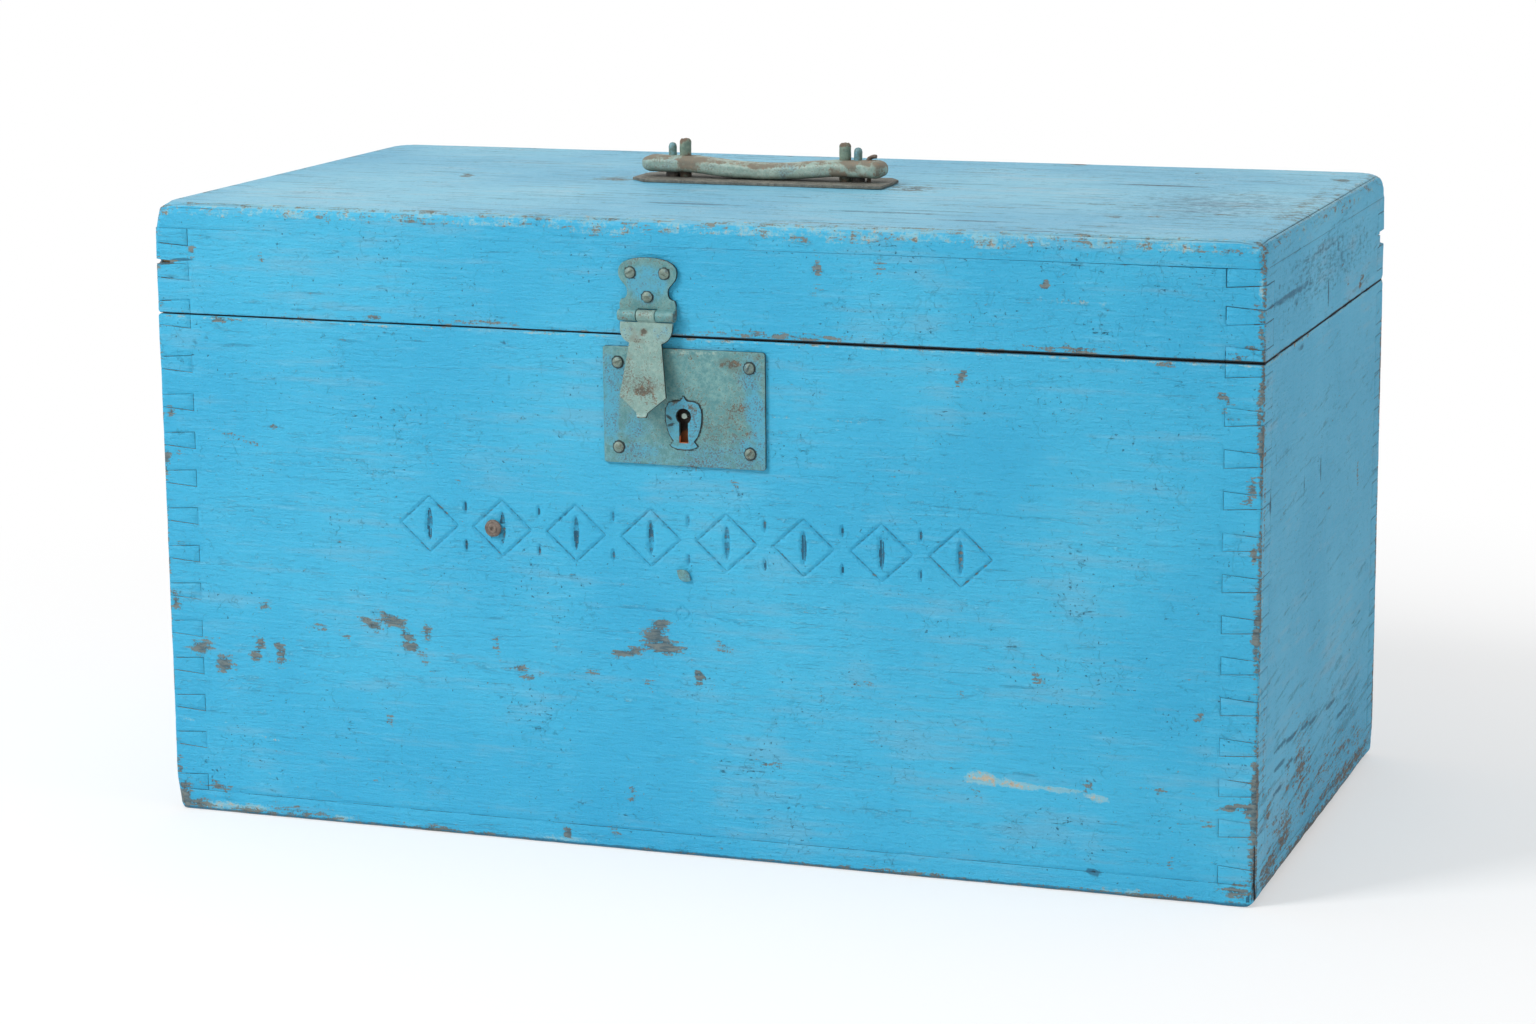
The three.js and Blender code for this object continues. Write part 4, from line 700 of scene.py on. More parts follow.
def strokeBins(strokes):
    bins = {}
    for stroke in strokes:
        left, right = min(stroke[0], stroke[2]) - 3, max(stroke[0], stroke[2]) + 3
        for cell in range(int(left // 8), int(right // 8) + 1):
            bins.setdefault(cell, []).append(stroke)
    return bins


carvedBins = strokeBins(carvedStrokes())


def carvedDepth(across, up):
    deepest = 0.0
    for x0, z0, x1, z1, wide, taper in carvedBins.get(int(across // 8), []):
        dx, dz = x1 - x0, z1 - z0
        share = ((across - x0) * dx + (up - z0) * dz) / (dx * dx + dz * dz)
        share = min(1.0, max(0.0, share))
        away = math.hypot(across - x0 - share * dx, up - z0 - share * dz)
        width = wide * (1 - taper + taper * math.sqrt(max(0.0, 4 * share * (1 - share))))
        if away < width:
            deep = carving["deep"] * (width / carving["leafWide"]) ** 0.6
            deepest = max(deepest, deep * (1 - away / width))
    return deepest


# dents pressed into the front: across, up, radius, depth, in millimetres
frontDents = [
    (120, 258, 5, 0.3), (190, 225, 9, 0.35), (-60, 70, 7, 0.3), (240, 105, 8, 0.4), (30, 80, 5, 0.3),
    (-210, 190, 6, 0.3), (-150, 245, 5, 0.25), (70, 110, 6, 0.35), (268, 140, 4, 0.3), (-260, 150, 6, 0.25),
    (210, 160, 4, 0.4), (222, 175, 3, 0.3), (-20, 60, 10, 0.3), (150, 30, 9, 0.35), (-90, 40, 8, 0.3),
    (285, 75, 9, 0.45), (-190, 320, 5, 0.3), (20, 312, 6, 0.25), (160, 305, 8, 0.3), (250, 300, 6, 0.3),
]


# how the faces swell and dip, in millimetres: the least depth, broad swells, raised grain, chips of paint
faceRelief = {"deep": 0.16, "swell": 0.14, "grain": 0.05, "chip": 0.16}


def faceDepth(x, y, z):
    f = faceRelief
    swell = f["swell"] * ripple(x, y, z, 70 * mm) + f["grain"] * ripple(x, y * 2, z * 6, 14 * mm)
    depth = f["deep"] + swell
    if y < -chest["halfDeep"] + 1e-5:
        across, up = x / mm, z / mm
        for dentX, dentZ, radius, deep in frontDents:
            away = math.hypot(across - dentX, (up - dentZ) * 1.6)
            if away < radius:
                depth += deep * (1 - (away / radius) ** 2) ** 2
        if carving["foot"] < up < carving["head"]:
            depth += carvedDepth(across, up)
        bare = markStrength(across, up, frontMarks["bare"])
        if bare > 0.6:
            depth += f["chip"] * smooth(bare, 0.55, 0.9)
    return max(0.0, depth) * mm


# splits in the lid's corners, the corners knocked round at the seam, and the notch under the lid's edge
splits = {"left": 311.8 * mm, "right": 307.5 * mm, "long": 9 * mm, "notch": 5 * mm, "knocked": 3.2 * mm}
seamNotch = {"across": 213 * mm, "half": 3 * mm, "deep": 2.4 * mm}
# a nick in the far right edge, at the seam
backNick = {"up": 283.2 * mm, "half": 2.6 * mm, "deep": 4 * mm}
# the joint under the lid's top is filled with paint in the middle of the front, and open at its right end,
# by so many times boardNet's closeBy
topJointPaint = {"filledTo": 262 * mm, "openFrom": 282 * mm, "filled": 4, "open": -6}
# the front and right boards have come apart a little at the foot
footSplit = {"in": 1.1 * mm, "low": 4 * mm, "high": 36 * mm, "fade": 10 * mm, "deep": 1.5 * mm}


def cornerLoss(x, y, z, inY):
    if x < 0 and y < 0:
        slit = smooth(abs(z - splits["left"]), 1.4 * mm, 0.5 * mm) * smooth(inY, 5.5 * mm, 2 * mm)
        slit *= splits["long"]
        radius = splits["knocked"]
        inside = max(0.0, radius - abs(z - chest["bodyTop"] - 0.25 * mm))
        knocked = radius - math.sqrt(radius * radius - inside * inside)
        return max(slit, knocked * smooth(inY, 14 * mm, 7 * mm))
    if x > 0 and y > 0:
        tall = smooth(abs(z - splits["right"]), 4.2 * mm, 3 * mm)
        return splits["notch"] * tall * smooth(inY, 13 * mm, 8 * mm)
    return 0.0


def uprightRadius(x, y, z):
    waver = 0.7 * ripple(x, y, z, 9 * mm) + 0.6 * ripple(x, y, z, 30 * mm)
    radius = edgeWear["upright"] + edgeWear["waver"] * waver
    foot = smooth(z, 22 * mm, 2 * mm)
    radius += foot * (edgeWear["uprightFoot"] - edgeWear["upright"])
    radius += edgeWear["uprightTop"] * smooth(z, 328 * mm, 341 * mm)
    if x > 0 and y > 0:
        radius += backNick["deep"] * max(0.0, 1 - abs(z - backNick["up"]) / backNick["half"])
    return max(0.7 * mm, radius)


def seamRadius(x, y, z):
    chip = smooth(ripple(x, y, z, 22 * mm), 0.3, 0.62) * edgeWear["seamChip"]
    if y < 0:
        notch = max(0.0, 1 - abs(x - seamNotch["across"]) / seamNotch["half"])
        chip = max(chip, seamNotch["deep"] * notch)
    crisp = 0.6 if abs(x) > chest["halfWide"] - 1 * mm else 1.0
    return crisp * edgeWear["seam"] + 0.4 * mm * ripple(x, y, z, 8 * mm) + chip


def roundedPair(first, second, radius):
    if first < radius and second < radius:
        u, v = radius - first, radius - second
        length = math.hypot(u, v)
        if length > radius:
            return radius - u * radius / length, radius - v * radius / length
    return first, second


def footGap(point):
    s = footSplit
    if point.x < 0 or point.y > -chest["halfDeep"] + 0.01 * mm or not s["low"] < point.z < s["high"]:
        return 0.0
    if abs(chest["halfWide"] - point.x - s["in"]) > 0.3 * mm:
        return 0.0
    return s["deep"] * smooth(point.z, s["high"], s["high"] - s["fade"])


def wornPlace(point, isLid):
    x, y, z = point
    signX = 1 if x > 0 else -1
    signY = 1 if y > 0 else -1
    inX, inY = chest["halfWide"] - abs(x), chest["halfDeep"] - abs(y)
    inTop, inFoot = chest["top"] - z, z
    if min(inX, inY, inTop, inFoot) > edgeWear["reach"]:
        return point
    depth = faceDepth(x, y, z)
    if inX < 0.3 * mm:
        inX += depth
    if inY < 0.3 * mm:
        inY += depth
    if inTop < 0.3 * mm:
        inTop += depth
    onJoint = y < 0 and inY < 0.6 * mm and abs(z - chest["topJoint"]) < 0.6 * mm
    if onJoint and abs(x) < topJointPaint["filledTo"]:
        inY = depth
    inX = max(inX, cornerLoss(x, y, z, inY))
    inX, inY = roundedPair(inX, inY, uprightRadius(x, y, z))
    topRound = edgeWear["lidTop"] + 0.7 * mm * ripple(x, y, z, 24 * mm) + 0.3 * mm * ripple(x, y, z, 6 * mm)
    topRound += edgeWear["lidCorner"] * smooth(max(inX, inY), 18 * mm, 5 * mm)
    inX, inTop = roundedPair(inX, inTop, topRound)
    inY, inTop = roundedPair(inY, inTop, topRound)
    footRound = edgeWear["foot"] + 0.9 * mm * ripple(x, y, z, 16 * mm) + 0.4 * mm * ripple(x, y, z, 5 * mm)
    inX, inFoot = roundedPair(inX, inFoot, footRound + edgeWear["footCorner"])
    inY, inFoot = roundedPair(inY, inFoot, footRound)
    seam = z - chest["lidBase"] if isLid else chest["bodyTop"] - z
    if 0 <= seam < 4 * mm:
        radius = seamRadius(x, y, z)
        inX, moved = roundedPair(inX, seam, radius)
        inY, moved = roundedPair(inY, moved, radius)
        z += (moved - seam) * (1 if isLid else -1)
    elif inTop < edgeWear["reach"]:
        z = chest["top"] - inTop
    elif inFoot < edgeWear["reach"]:
        z = inFoot
    inY += footGap(point)
    return Vector((signX * (chest["halfWide"] - inX), signY * (chest["halfDeep"] - inY), z))


def cornerCrack(x, y, z):
    # the dark line in the split at the foot, a hair longer than the split
    s = footSplit
    if x < 0 or y > 0 or not s["low"] - 1 * mm < z < s["high"] + 1 * mm:
        return 0.0
    across = abs(chest["halfWide"] - x - s["in"] - 0.1 * mm)
    return 1.7 * smooth(across, 0.6 * mm, 0.3 * mm) * smooth(chest["halfDeep"] + y, 7 * mm, 6 * mm)


def jointDirt(x, y, z, normal):
    # dirt along the joints, where a board's arris leans away from its face
    inX, inY = chest["halfWide"] - abs(x), chest["halfDeep"] - abs(y)
    second = sorted((inX, inY, chest["top"] - z, z))[1]
    if second < 3.4 * mm or abs(z - chest["bodyTop"]) < 3 * mm or chest["top"] - z < 10 * mm:
        return 0.0
    onFront = inY < 1 * mm and y < 0
    if onFront and abs(x) < carving["reach"] * mm and carving["foot"] * mm < z < carving["head"] * mm:
        return 0.0
    if onFront and abs(x) < topJointPaint["filledTo"] and z > 325 * mm:
        return 0.0
    flat = max(abs(normal.x), abs(normal.y), abs(normal.z))
    return (0.46 + 0.4 * ripple(x, y, z, 14 * mm)) * smooth(flat, 0.992, 0.95)


# how strongly the paint is rubbed, dirty, darkened or lit by a painted highlight: at 0 not at all, from about
# 1 wholly
rubbing = {
    "rightEdge": 0.66,
    "leftEdge": 0.48,
    "foot": 0.6,
    "seam": 0.3,
    "topEdge": 0.75,
    "knocked": 1.1,
    "seamHighlight": 0.62,
    "footDarkening": 0.95,
    "jointDirt": 0.6,
    "carvedDirt": 0.66,
    "carvedBare": 0.3,
}


def rubbedEdge(x, z, corner, rough, broad, along):
    # bare wood on the upright edges, most near the lid's top and at the right foot
    wide = (2.2 + 1.8 * rough + 2.2 * broad) * mm
    rubbed = rubbing["rightEdge"] if x > 0 else rubbing["leftEdge"]
    rubbed += 0.75 * along + 0.3 * smooth(z, 322 * mm, 336 * mm)
    if x > 0:
        rubbed += 0.3 * smooth(z, 120 * mm, 30 * mm)
    return rubbed * smooth(corner, wide * 1.7, wide * 0.4)


def seamGapShade(x, z, onSide, rough):
    # painted shade: the gap between lid and body is drawn dark on both lips, widest at the right of the front
    gap = (0.35 + 0.65 * smooth(x, -80 * mm, 160 * mm)) * mm
    if onSide:
        gap *= 0.5 + 0.4 * smooth(rough, 0.1, 0.4)
    over = smooth(z - chest["lidBase"], 1.3 * gap, 0.5 * gap)
    return 1.6 * over * smooth(chest["bodyTop"] - z, 0.8 * gap, 0.3 * gap)


def faceMarks(x, y, z, inX, inY, inTop):
    # the marks of the face that a place lies on, the place on that face, and its scuffing
    if inY < 3 * mm and y < 0:
        return frontMarks, x / mm, z / mm, 0.06
    if inTop < 3 * mm:
        return topMarks, x / mm, y / mm, 0.62
    if inX < 3 * mm:
        return sideMarks, y / mm, z / mm, 0.3 + 0.45 * smooth(z, 130 * mm, 50 * mm)
    return noMarks, x / mm, z / mm, 0.22 if inY < 3 * mm else 0.06


def wearAt(point, normal):
    r = rubbing
    x, y, z = point
    inX, inY = chest["halfWide"] - abs(x), chest["halfDeep"] - abs(y)
    inTop, inFoot = chest["top"] - z, z
    rough = ripple(x, y, z, 12 * mm)
    broad = ripple(x, y, z, 45 * mm)
    along = ripple(x * 0.2, y * 0.2, z, 19 * mm)
    foot = max(inFoot, min(inX, inY))
    under = chest["bodyTop"] - z
    seamAway = min(abs(under), abs(z - chest["lidBase"]))
    bare = max(
        rubbedEdge(x, z, max(inX, inY), rough, broad, along),
        (r["foot"] + 0.5 * broad) * smooth(foot, (5 + 4 * broad) * mm, 1 * mm),
        (r["seam"] + 0.75 * ripple(x, y, z, 26 * mm)) * smooth(seamAway, 2.6 * mm, 0.4 * mm),
        (r["topEdge"] + 0.5 * along) * smooth(max(inX, inY, inTop), 9 * mm, 5 * mm),
    )
    if z > 300 * mm and inX < 11 * mm and cornerLoss(x, y, z, inY) > 1.5 * mm:
        bare = r["knocked"]
    # painted highlight: a pale line on the body just under the seam, where its top edge catches the light
    pale = r["seamHighlight"] * smooth(under, 2.6 * mm, 1.6 * mm) * smooth(under, 0.5 * mm, 0.9 * mm)
    # darker near the seam and towards the bottom, and darkest just above the floor
    grime = max(
        0.3 * smooth(seamAway, 5 * mm, 0.5 * mm) + 0.22 * smooth(inFoot, 30 * mm, 2 * mm),
        r["footDarkening"] * smooth(inFoot, 3.4 * mm, 1 * mm),
        cornerCrack(x, y, z),
        seamGapShade(x, z, inX < 1 * mm and inY > 4 * mm, rough),
        r["jointDirt"] * jointDirt(x, y, z, normal),
    )
    # the rubbed band along the rounded edges of the lid, pale partly as a painted highlight where the rounded
    # edge meets the light, and paler on the front than on the sides
    rubbedBandWithHighlight = smooth(inTop, (8.6 + 2.6 * broad) * mm, (7.2 + 2.6 * broad) * mm)
    rubbedBandWithHighlight *= smooth(min(inX, inY), 9 * mm, 6 * mm)
    if rubbedBandWithHighlight > 0:
        pale = rubbedBandWithHighlight * (0.54 + 0.06 * smooth(x, -120 * mm, 60 * mm) + 0.22 * rough)
        pale *= 1 if inY < inX else 0.8
        bare = max(bare, rubbedBandWithHighlight * (0.32 + 0.45 * ripple(x, y, z, 7 * mm)))
        grime = max(grime, rubbedBandWithHighlight * 0.2)
    marks, across, up, scuff = faceMarks(x, y, z, inX, inY, inTop)
    if marks is frontMarks:
        carved = carvedDepth(across, up) if carving["foot"] < up < carving["head"] else 0.0
        grime = max(grime, r["carvedDirt"] * smooth(carved, 0.2, 0.8))
        bare = max(bare, r["carvedBare"] * smooth(carved, 0.5, 0.9) * (1 + broad))
    bare = max(bare, 1.2 * markStrength(across, up, marks["bare"]))
    pale = max(pale, markStrength(across, up, marks["pale"]))
    grime = max(grime, markStrength(across, up, marks["grime"]))
    return bare, pale, grime, scuff


# bmesh helpers

def copyOfNode(name):
    bm = bmesh.new()
    bm.from_mesh(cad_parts[name].data)
    bmesh.ops.remove_doubles(bm, verts=bm.verts, dist=0.002 * mm)
    bmesh.ops.dissolve_limit(bm, angle_limit=math.radians(0.5), verts=bm.verts, edges=bm.edges)
    return bm


def softenEdges(bm, width, segments=1, sharpest=28):
    sharp = [e for e in bm.edges if len(e.link_faces) == 2 and e.calc_face_angle(0) > math.radians(sharpest)]
    bmesh.ops.bevel(
        bm, geom=sharp, offset=width, offset_type="OFFSET", segments=segments, profile=0.5,
        affect="EDGES", clamp_overlap=True, material=-1,
    )


def sliced(bm, axis, places):
    normal = Vector((0, 0, 0))
    normal[axis] = 1
    for placeAlong in places:
        point = Vector((0, 0, 0))
        point[axis] = placeAlong
        geometry = bm.verts[:] + bm.edges[:] + bm.faces[:]
        bmesh.ops.bisect_plane(bm, geom=geometry, dist=0.001 * mm, plane_co=point, plane_no=normal)


def evenPlaces(low, high, step):
    count = max(1, round((high - low) / step))
    return [low + (high - low) * number / count for number in range(1, count)]


def isOuter(face):
    x, y, z = face.calc_center_median()
    nx, ny, nz = face.normal
    if chest["halfWide"] - abs(x) < 0.2 * mm and abs(nx) > 0.7:
        return True
    if chest["halfDeep"] - abs(y) < 0.2 * mm and abs(ny) > 0.7:
        return True
    return (chest["top"] - z < 0.2 * mm and nz > 0.7) or (z < 0.2 * mm and nz < -0.7)


def paintWear(mesh, wearOf):
    layer = mesh.color_attributes.new(name="wear", type="FLOAT_COLOR", domain="POINT")
    values = []
    for vertex in mesh.vertices:
        values.extend(wearOf(vertex.co, vertex.normal))
    layer.data.foreach_set("color", values)


def finished(bm, name, body, nodes, materials, wearOf=None, sharpest=40):
    mesh = bpy.data.meshes.new(name)
    bm.normal_update()
    bm.to_mesh(mesh)
    bm.free()
    for material in materials:
        mesh.materials.append(material)
    mesh.polygons.foreach_set("use_smooth", [True] * len(mesh.polygons))
    mesh.set_sharp_from_angle(angle=math.radians(sharpest))
    if wearOf:
        paintWear(mesh, wearOf)
    piece = bpy.data.objects.new(name, mesh)
    bpy.context.collection.objects.link(piece)
    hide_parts(*nodes)
    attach(piece, body)


# boards: the dovetailed shapes, cut into a fine net so that wear can shape them
boardNet = {
    "cell": 5 * mm,
    "edgeCuts": [0.5 * mm, 1.1 * mm, 1.9 * mm, 2.9 * mm, 4.2 * mm, 6 * mm, 8.5 * mm],
    "seamCuts": [0.45 * mm, 1.0 * mm, 1.8 * mm, 3.0 * mm],
    "arris": 0.17 * mm,
    "closeBy": 0.03 * mm,
    "leastArea": 6 * mm * mm,
    "leastEdge": 3.5 * mm,
}


def nearEdges(low, high, cuts):
    return [low + cut for cut in cuts] + [high - cut for cut in cuts]


def isFlat(vert):
    first = vert.link_faces[0].normal
    return all(face.normal.dot(first) > 0.9999 for face in vert.link_faces)


def clearSlants(bm):
    # slanting edges left between the holes would stop a cell from being divided evenly
    bm.normal_update()
    slants = []
    for edge in bm.edges:
        span = edge.verts[0].co - edge.verts[1].co
        if sum(1 for part in span if abs(part) > 0.02 * mm) > 1 and all(isFlat(vert) for vert in edge.verts):
            slants.append(edge)
    bmesh.ops.dissolve_edges(bm, edges=slants, use_verts=True)


def closeJoints(bm, by):
    # paint fills the dovetails, so their outer ends lie closer than their roots
    bm.normal_update()
    moves = {}
    for vert in bm.verts:
        x, y, z = vert.co
        onSide = chest["halfWide"] - abs(x) < 0.02 * mm
        onFront = chest["halfDeep"] - abs(y) < 0.02 * mm
        if not (onSide or onFront) or z < 13 * mm or abs(z - chest["bodyTop"]) < 2 * mm:
            continue
        if onSide and abs(z - chest["topJoint"]) < 1 * mm:
            continue
        walls = []
        for face in vert.link_faces:
            if not isOuter(face) and all(face.normal.dot(wall) < 0.9 for wall in walls):
                walls.append(face.normal.copy())
        if walls:
            share = 1
            if abs(z - chest["topJoint"]) < 1 * mm:
                if abs(x) < topJointPaint["filledTo"]:
                    share = topJointPaint["filled"]
                elif x > topJointPaint["openFrom"]:
                    share = topJointPaint["open"]
            moves[vert] = sum(walls, Vector((0, 0, 0))) * by * share
    for vert, move in moves.items():
        vert.co += move


# the order in which wornBoard gives a board its materials
paintPlaces = {"front": 0, "sides": 1, "top": 2, "inside": 3, "joints": 4}
paintDeep = 3.2 * mm


def paintFor(face):
    x, y, z = face.calc_center_median()
    inX, inY = chest["halfWide"] - abs(x), chest["halfDeep"] - abs(y)
    inTop = chest["top"] - z
    if min(inX, inY, inTop, z) > paintDeep:
        return paintPlaces["inside"]
    if jointDirt(x, y, z, face.normal) > 0.36:
        return paintPlaces["joints"]
    if inTop < paintDeep and face.normal.z > 0.72:
        return paintPlaces["top"]
    return paintPlaces["sides" if abs(face.normal.x) > abs(face.normal.y) else "front"]


def edgesOf(bm, faces, shortest=0.0):
    faces = set(faces)
    longer = [edge for edge in bm.edges if edge.calc_length() > shortest]
    return [edge for edge in longer if not faces.isdisjoint(edge.link_faces)]


def netHeights(low, high, isLid):
    # levels at which a board is cut, close together at the seam and at the outer edge
    net = boardNet
    heights = evenPlaces(low, high, net["cell"])
    if isLid:
        heights += [chest["lidBase"] + cut for cut in net["seamCuts"]]
        heights += [chest["top"] - cut for cut in net["edgeCuts"]]
    else:
        heights += [chest["bodyTop"] - cut for cut in net["seamCuts"]]
        heights += net["edgeCuts"]
    return heights


def fineCarvedNet(bm):
    # the carved places get cells a quarter as wide
    bm.normal_update()
    region = []
    for face in bm.faces:
        x, y, z = face.calc_center_median() / mm
        if y < -chest["halfDeep"] / mm + 0.05:
            if any(left < x < right and low < z < high for left, right, low, high in carving["fineNet"]):
                region.append(face)
    bmesh.ops.subdivide_edges(bm, edges=edgesOf(bm, region), cuts=3, use_grid_fill=True)


def wornBoard(name, node, body, grain, extraHeights=(), carved=False):
    net = boardNet
    isLid = body == "lid"
    bm = copyOfNode(node)
    closeJoints(bm, net["closeBy"])
    softenEdges(bm, net["arris"])
    low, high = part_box(node)
    for axis, half in ((0, chest["halfWide"]), (1, chest["halfDeep"])):
        if high[axis] - low[axis] > 30 * mm:
            sliced(bm, axis, evenPlaces(low[axis], high[axis], net["cell"]))
        cuts = [cut for cut in nearEdges(-half, half, net["edgeCuts"]) if low[axis] < cut < high[axis]]
        sliced(bm, axis, cuts)
    heights = netHeights(low.z, high.z, isLid) + list(extraHeights)
    sliced(bm, 2, [height for height in heights if low.z < height < high.z])
    clearSlants(bm)
    bm.normal_update()
    outer = [face for face in bm.faces if isOuter(face) and face.calc_area() > net["leastArea"]]
    bmesh.ops.subdivide_edges(bm, edges=edgesOf(bm, outer, net["leastEdge"]), cuts=1, use_grid_fill=True)
    if carved:
        fineCarvedNet(bm)
    for vert in bm.verts:
        vert.co = wornPlace(vert.co, isLid)
    bm.normal_update()
    for face in bm.faces:
        face.material_index = paintFor(face)
    finished(bm, name, body, [node], [*paints, pines[grain], jointPaint], wearAt)


splitLeft = [splits["left"] + away * mm for away in (-1.4, -0.5, 0.5, 1.4)]
splitRight = [splits["right"] + away * mm for away in (-4.2, -3, 3, 4.2)]
wornBoard("front_board_worn", "front_board", "chest", "acrossX", carved=True)
print("front board")
wornBoard("back_board_worn", "back_board", "chest", "acrossX")
wornBoard("left_side_board_worn", "left_side_board", "chest", "acrossY")
wornBoard("right_side_board_worn", "right_side_board", "chest", "acrossY")
wornBoard("bottom_board_worn", "bottom_board", "chest", "acrossX")
print("body boards")
wornBoard("lid_front_board_worn", "lid_front_board", "lid", "acrossX", splitLeft)
wornBoard("lid_back_board_worn", "lid_back_board", "lid", "acrossX", splitRight)
wornBoard("lid_left_board_worn", "lid_left_board", "lid", "acrossY", splitLeft)
wornBoard("lid_right_board_worn", "lid_right_board", "lid", "acrossY", splitRight)
wornBoard("lid_top_board_worn", "lid_top_board", "lid", "acrossX")
print("lid boards")


# plates and straps: softened, cut into a net and dented a little by hand
def hammered(
    name, node, body, material, wearOf, net, arris, dent,
    shape=None, rim=0,
):
    bm = copyOfNode(node)
    softenEdges(bm, arris, 2, 30)
    if rim:
        # a narrow border inside the outline, where dirt or rubbing can show, and where the painted shade of
        # the side faces fades out
        bm.normal_update()
        front = min(vert.co.y for vert in bm.verts) + 0.1 * mm
        facing = [face for face in bm.faces if face.normal.y < -0.98]
        facing = [face for face in facing if face.calc_center_median().y < front]
        bmesh.ops.inset_region(bm, faces=facing, thickness=rim, use_even_offset=True, use_boundary=True)
    low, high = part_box(node)
    for axis in range(3):
        if high[axis] - low[axis] > 2 * net:
            sliced(bm, axis, evenPlaces(low[axis], high[axis], net))
    bm.normal_update()
    moves = []
    for vert in bm.verts:
        x, y, z = vert.co
        push = dent * (0.6 * ripple(x, y, z, 9 * mm) + 0.4 * ripple(x, y, z, 3 * mm))
        moves.append(vert.normal * push)
    for vert, move in zip(bm.verts, moves):
        vert.co += move
        if shape:
            vert.co = shape(vert.co)
    finished(bm, name, body, [node], [material], wearOf, 50)


# the lock plate's stains, written as the front's marks are
plateStains = {
    "rust": [
        (26, 270, 8, 5, 0, 0.75), (6, 273, 14, 3, 0, 0.5), (30, 246, 12, 7, 10, 0.5),
        (36, 234, 9, 6, 0, 0.55), (-20, 274, 8, 2, 0, 0.4), (10, 218, 20, 2, 0, 0.4),
        (43, 275, 4, 3, 0, 0.6), (-8, 256, 5, 3, 0, 0.4),
    ],
    "blue": [
        (-41, 246, 6, 34, 0, 0.95), (41, 242, 6, 32, 8, 0.9), (-36, 262, 8, 12, 0, 0.7),
        (-20, 222, 28, 7, 0, 0.6), (36, 226, 10, 8, 0, 0.7), (38, 266, 9, 12, 0, 0.6),
        (-28, 234, 14, 12, 0, 0.62),
    ],
    "pale": [(8, 275.5, 30, 1.4, 0, 0.8), (16, 271, 6, 3, 0, 0.6), (44.5, 246, 1, 30, 0, 0.5)],
}


# dirt and painted shade: every face of the flat iron that turns away from the front is darkened
def sideDirtAndShade(normal):
    return smooth(abs(normal.y), 0.93, 0.5)


def screwPlaces(nodes):
    places = []
    for node in nodes:
        low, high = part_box(node)
        middle = (low + high) / 2 / mm
        places.append((middle.x, middle.z))
    return places


plateScrews = screwPlaces(f"lock_screw_{number}" for number in range(1, 5))
leafScrews = screwPlaces(f"hasp_screw_{number}" for number in range(1, 4))


# a dark ring round each screw head: dirt, and painted shade where the dome meets the plate
def nearScrews(across, up, places, reach):
    away = min(math.hypot(across - placeX, up - placeZ) for placeX, placeZ in places)
    return smooth(away, reach + 1.3, reach)


def outlineOf(node):
    # the outline that a flat piece shows from the front, as short lines across and up
    bm = copyOfNode(node)
    bm.normal_update()
    lines = []
    for edge in bm.edges:
        facing = [face.normal.y < -0.9 for face in edge.link_faces]
        if any(facing) and not all(facing):
            lines.append([(vert.co.x / mm, vert.co.z / mm) for vert in edge.verts])
    bm.free()
    return lines


def lineAway(across, up, lines):
    nearest = 99.0
    for (x0, z0), (x1, z1) in lines:
        dx, dz = x1 - x0, z1 - z0
        share = ((across - x0) * dx + (up - z0) * dz) / (dx * dx + dz * dz)
        share = min(1.0, max(0.0, share))
        nearest = min(nearest, math.hypot(across - x0 - share * dx, up - z0 - share * dz))
    return nearest


shieldLine = outlineOf("keyhole_escutcheon")


def slotFoot(across, up):
    # fresh rust at the foot of the keyhole
    return smooth(up, 232, 230) * smooth(abs(across - 0.7), 4, 3)


# painted shade: a dark line on the plate along the keyhole shield's outline
def shieldOutlineShade(across, up):
    if abs(across) < 16 and 218 < up < 258:
        return smooth(lineAway(across, up, shieldLine), 1.3, 0.4)
    return 0.0


# where the lock plate's worn rim runs, in millimetres
plateRim = {"across": 0.5, "up": 245.75, "halfWide": 46, "halfHigh": 31.4}


def plateWear(point, normal):
    p = plateRim
    x, y, z = point
    across, up = x / mm, z / mm
    edge = min(p["halfWide"] - abs(across - p["across"]), p["halfHigh"] - abs(up - p["up"]))
    rim = smooth(edge, 1.6, 0.3)
    drift = ripple(x, y, z, 7 * mm)
    rust = max(markStrength(across, up, plateStains["rust"]), (0.4 + 0.3 * drift) * rim)
    blue = max(markStrength(across, up, plateStains["blue"]), 0.5 * smooth(up, 238, 221))
    screws = nearScrews(across, up, plateScrews, 3.1)
    foot = slotFoot(across, up) * sideDirtAndShade(normal)
    dark = max(sideDirtAndShade(normal) * (1 - foot), screws, 0.85 * shieldOutlineShade(across, up) * (1 - foot))
    return max(rust, 2.2 * foot), blue, dark, markStrength(across, up, plateStains["pale"])


def evenWear(rust, blue, pale):
    # wear that only drifts a little, for the small hardware
    def wearOf(point, normal):
        drift = ripple(*point, 11 * mm)
        return rust + 0.25 * drift, blue - 0.3 * drift, 0.0, pale
    return wearOf


shieldStains = {
    "nick": [
        (-7.6, 240.5, 2.2, 0.5, -35, 1.0), (-6.6, 236.5, 2.4, 0.5, 20, 1.0),
        (7, 236, 2.6, 0.4, 25, 0.7),
    ],
    "brown": [(-4.4, 249.4, 1.6, 1.6, 0, 1.0), (6, 246, 3.6, 1.2, -30, 0.7)],
}


def shieldWear(point, normal):
    across, up = point.x / mm, point.z / mm
    nick = markStrength(across, up, shieldStains["nick"])
    brown = markStrength(across, up, shieldStains["brown"])
    foot = slotFoot(across, up) * sideDirtAndShade(normal)
    return max(brown, 2.2 * foot, 0.05), 0.72, max(nick, 1.2 * sideDirtAndShade(normal) * (1 - foot)), 0.1


# the plate's lower right corner stands a little off the board
plateCorner = {"across": 30 * mm, "up": 230 * mm, "reach": 16 * mm, "out": 0.25 * mm}


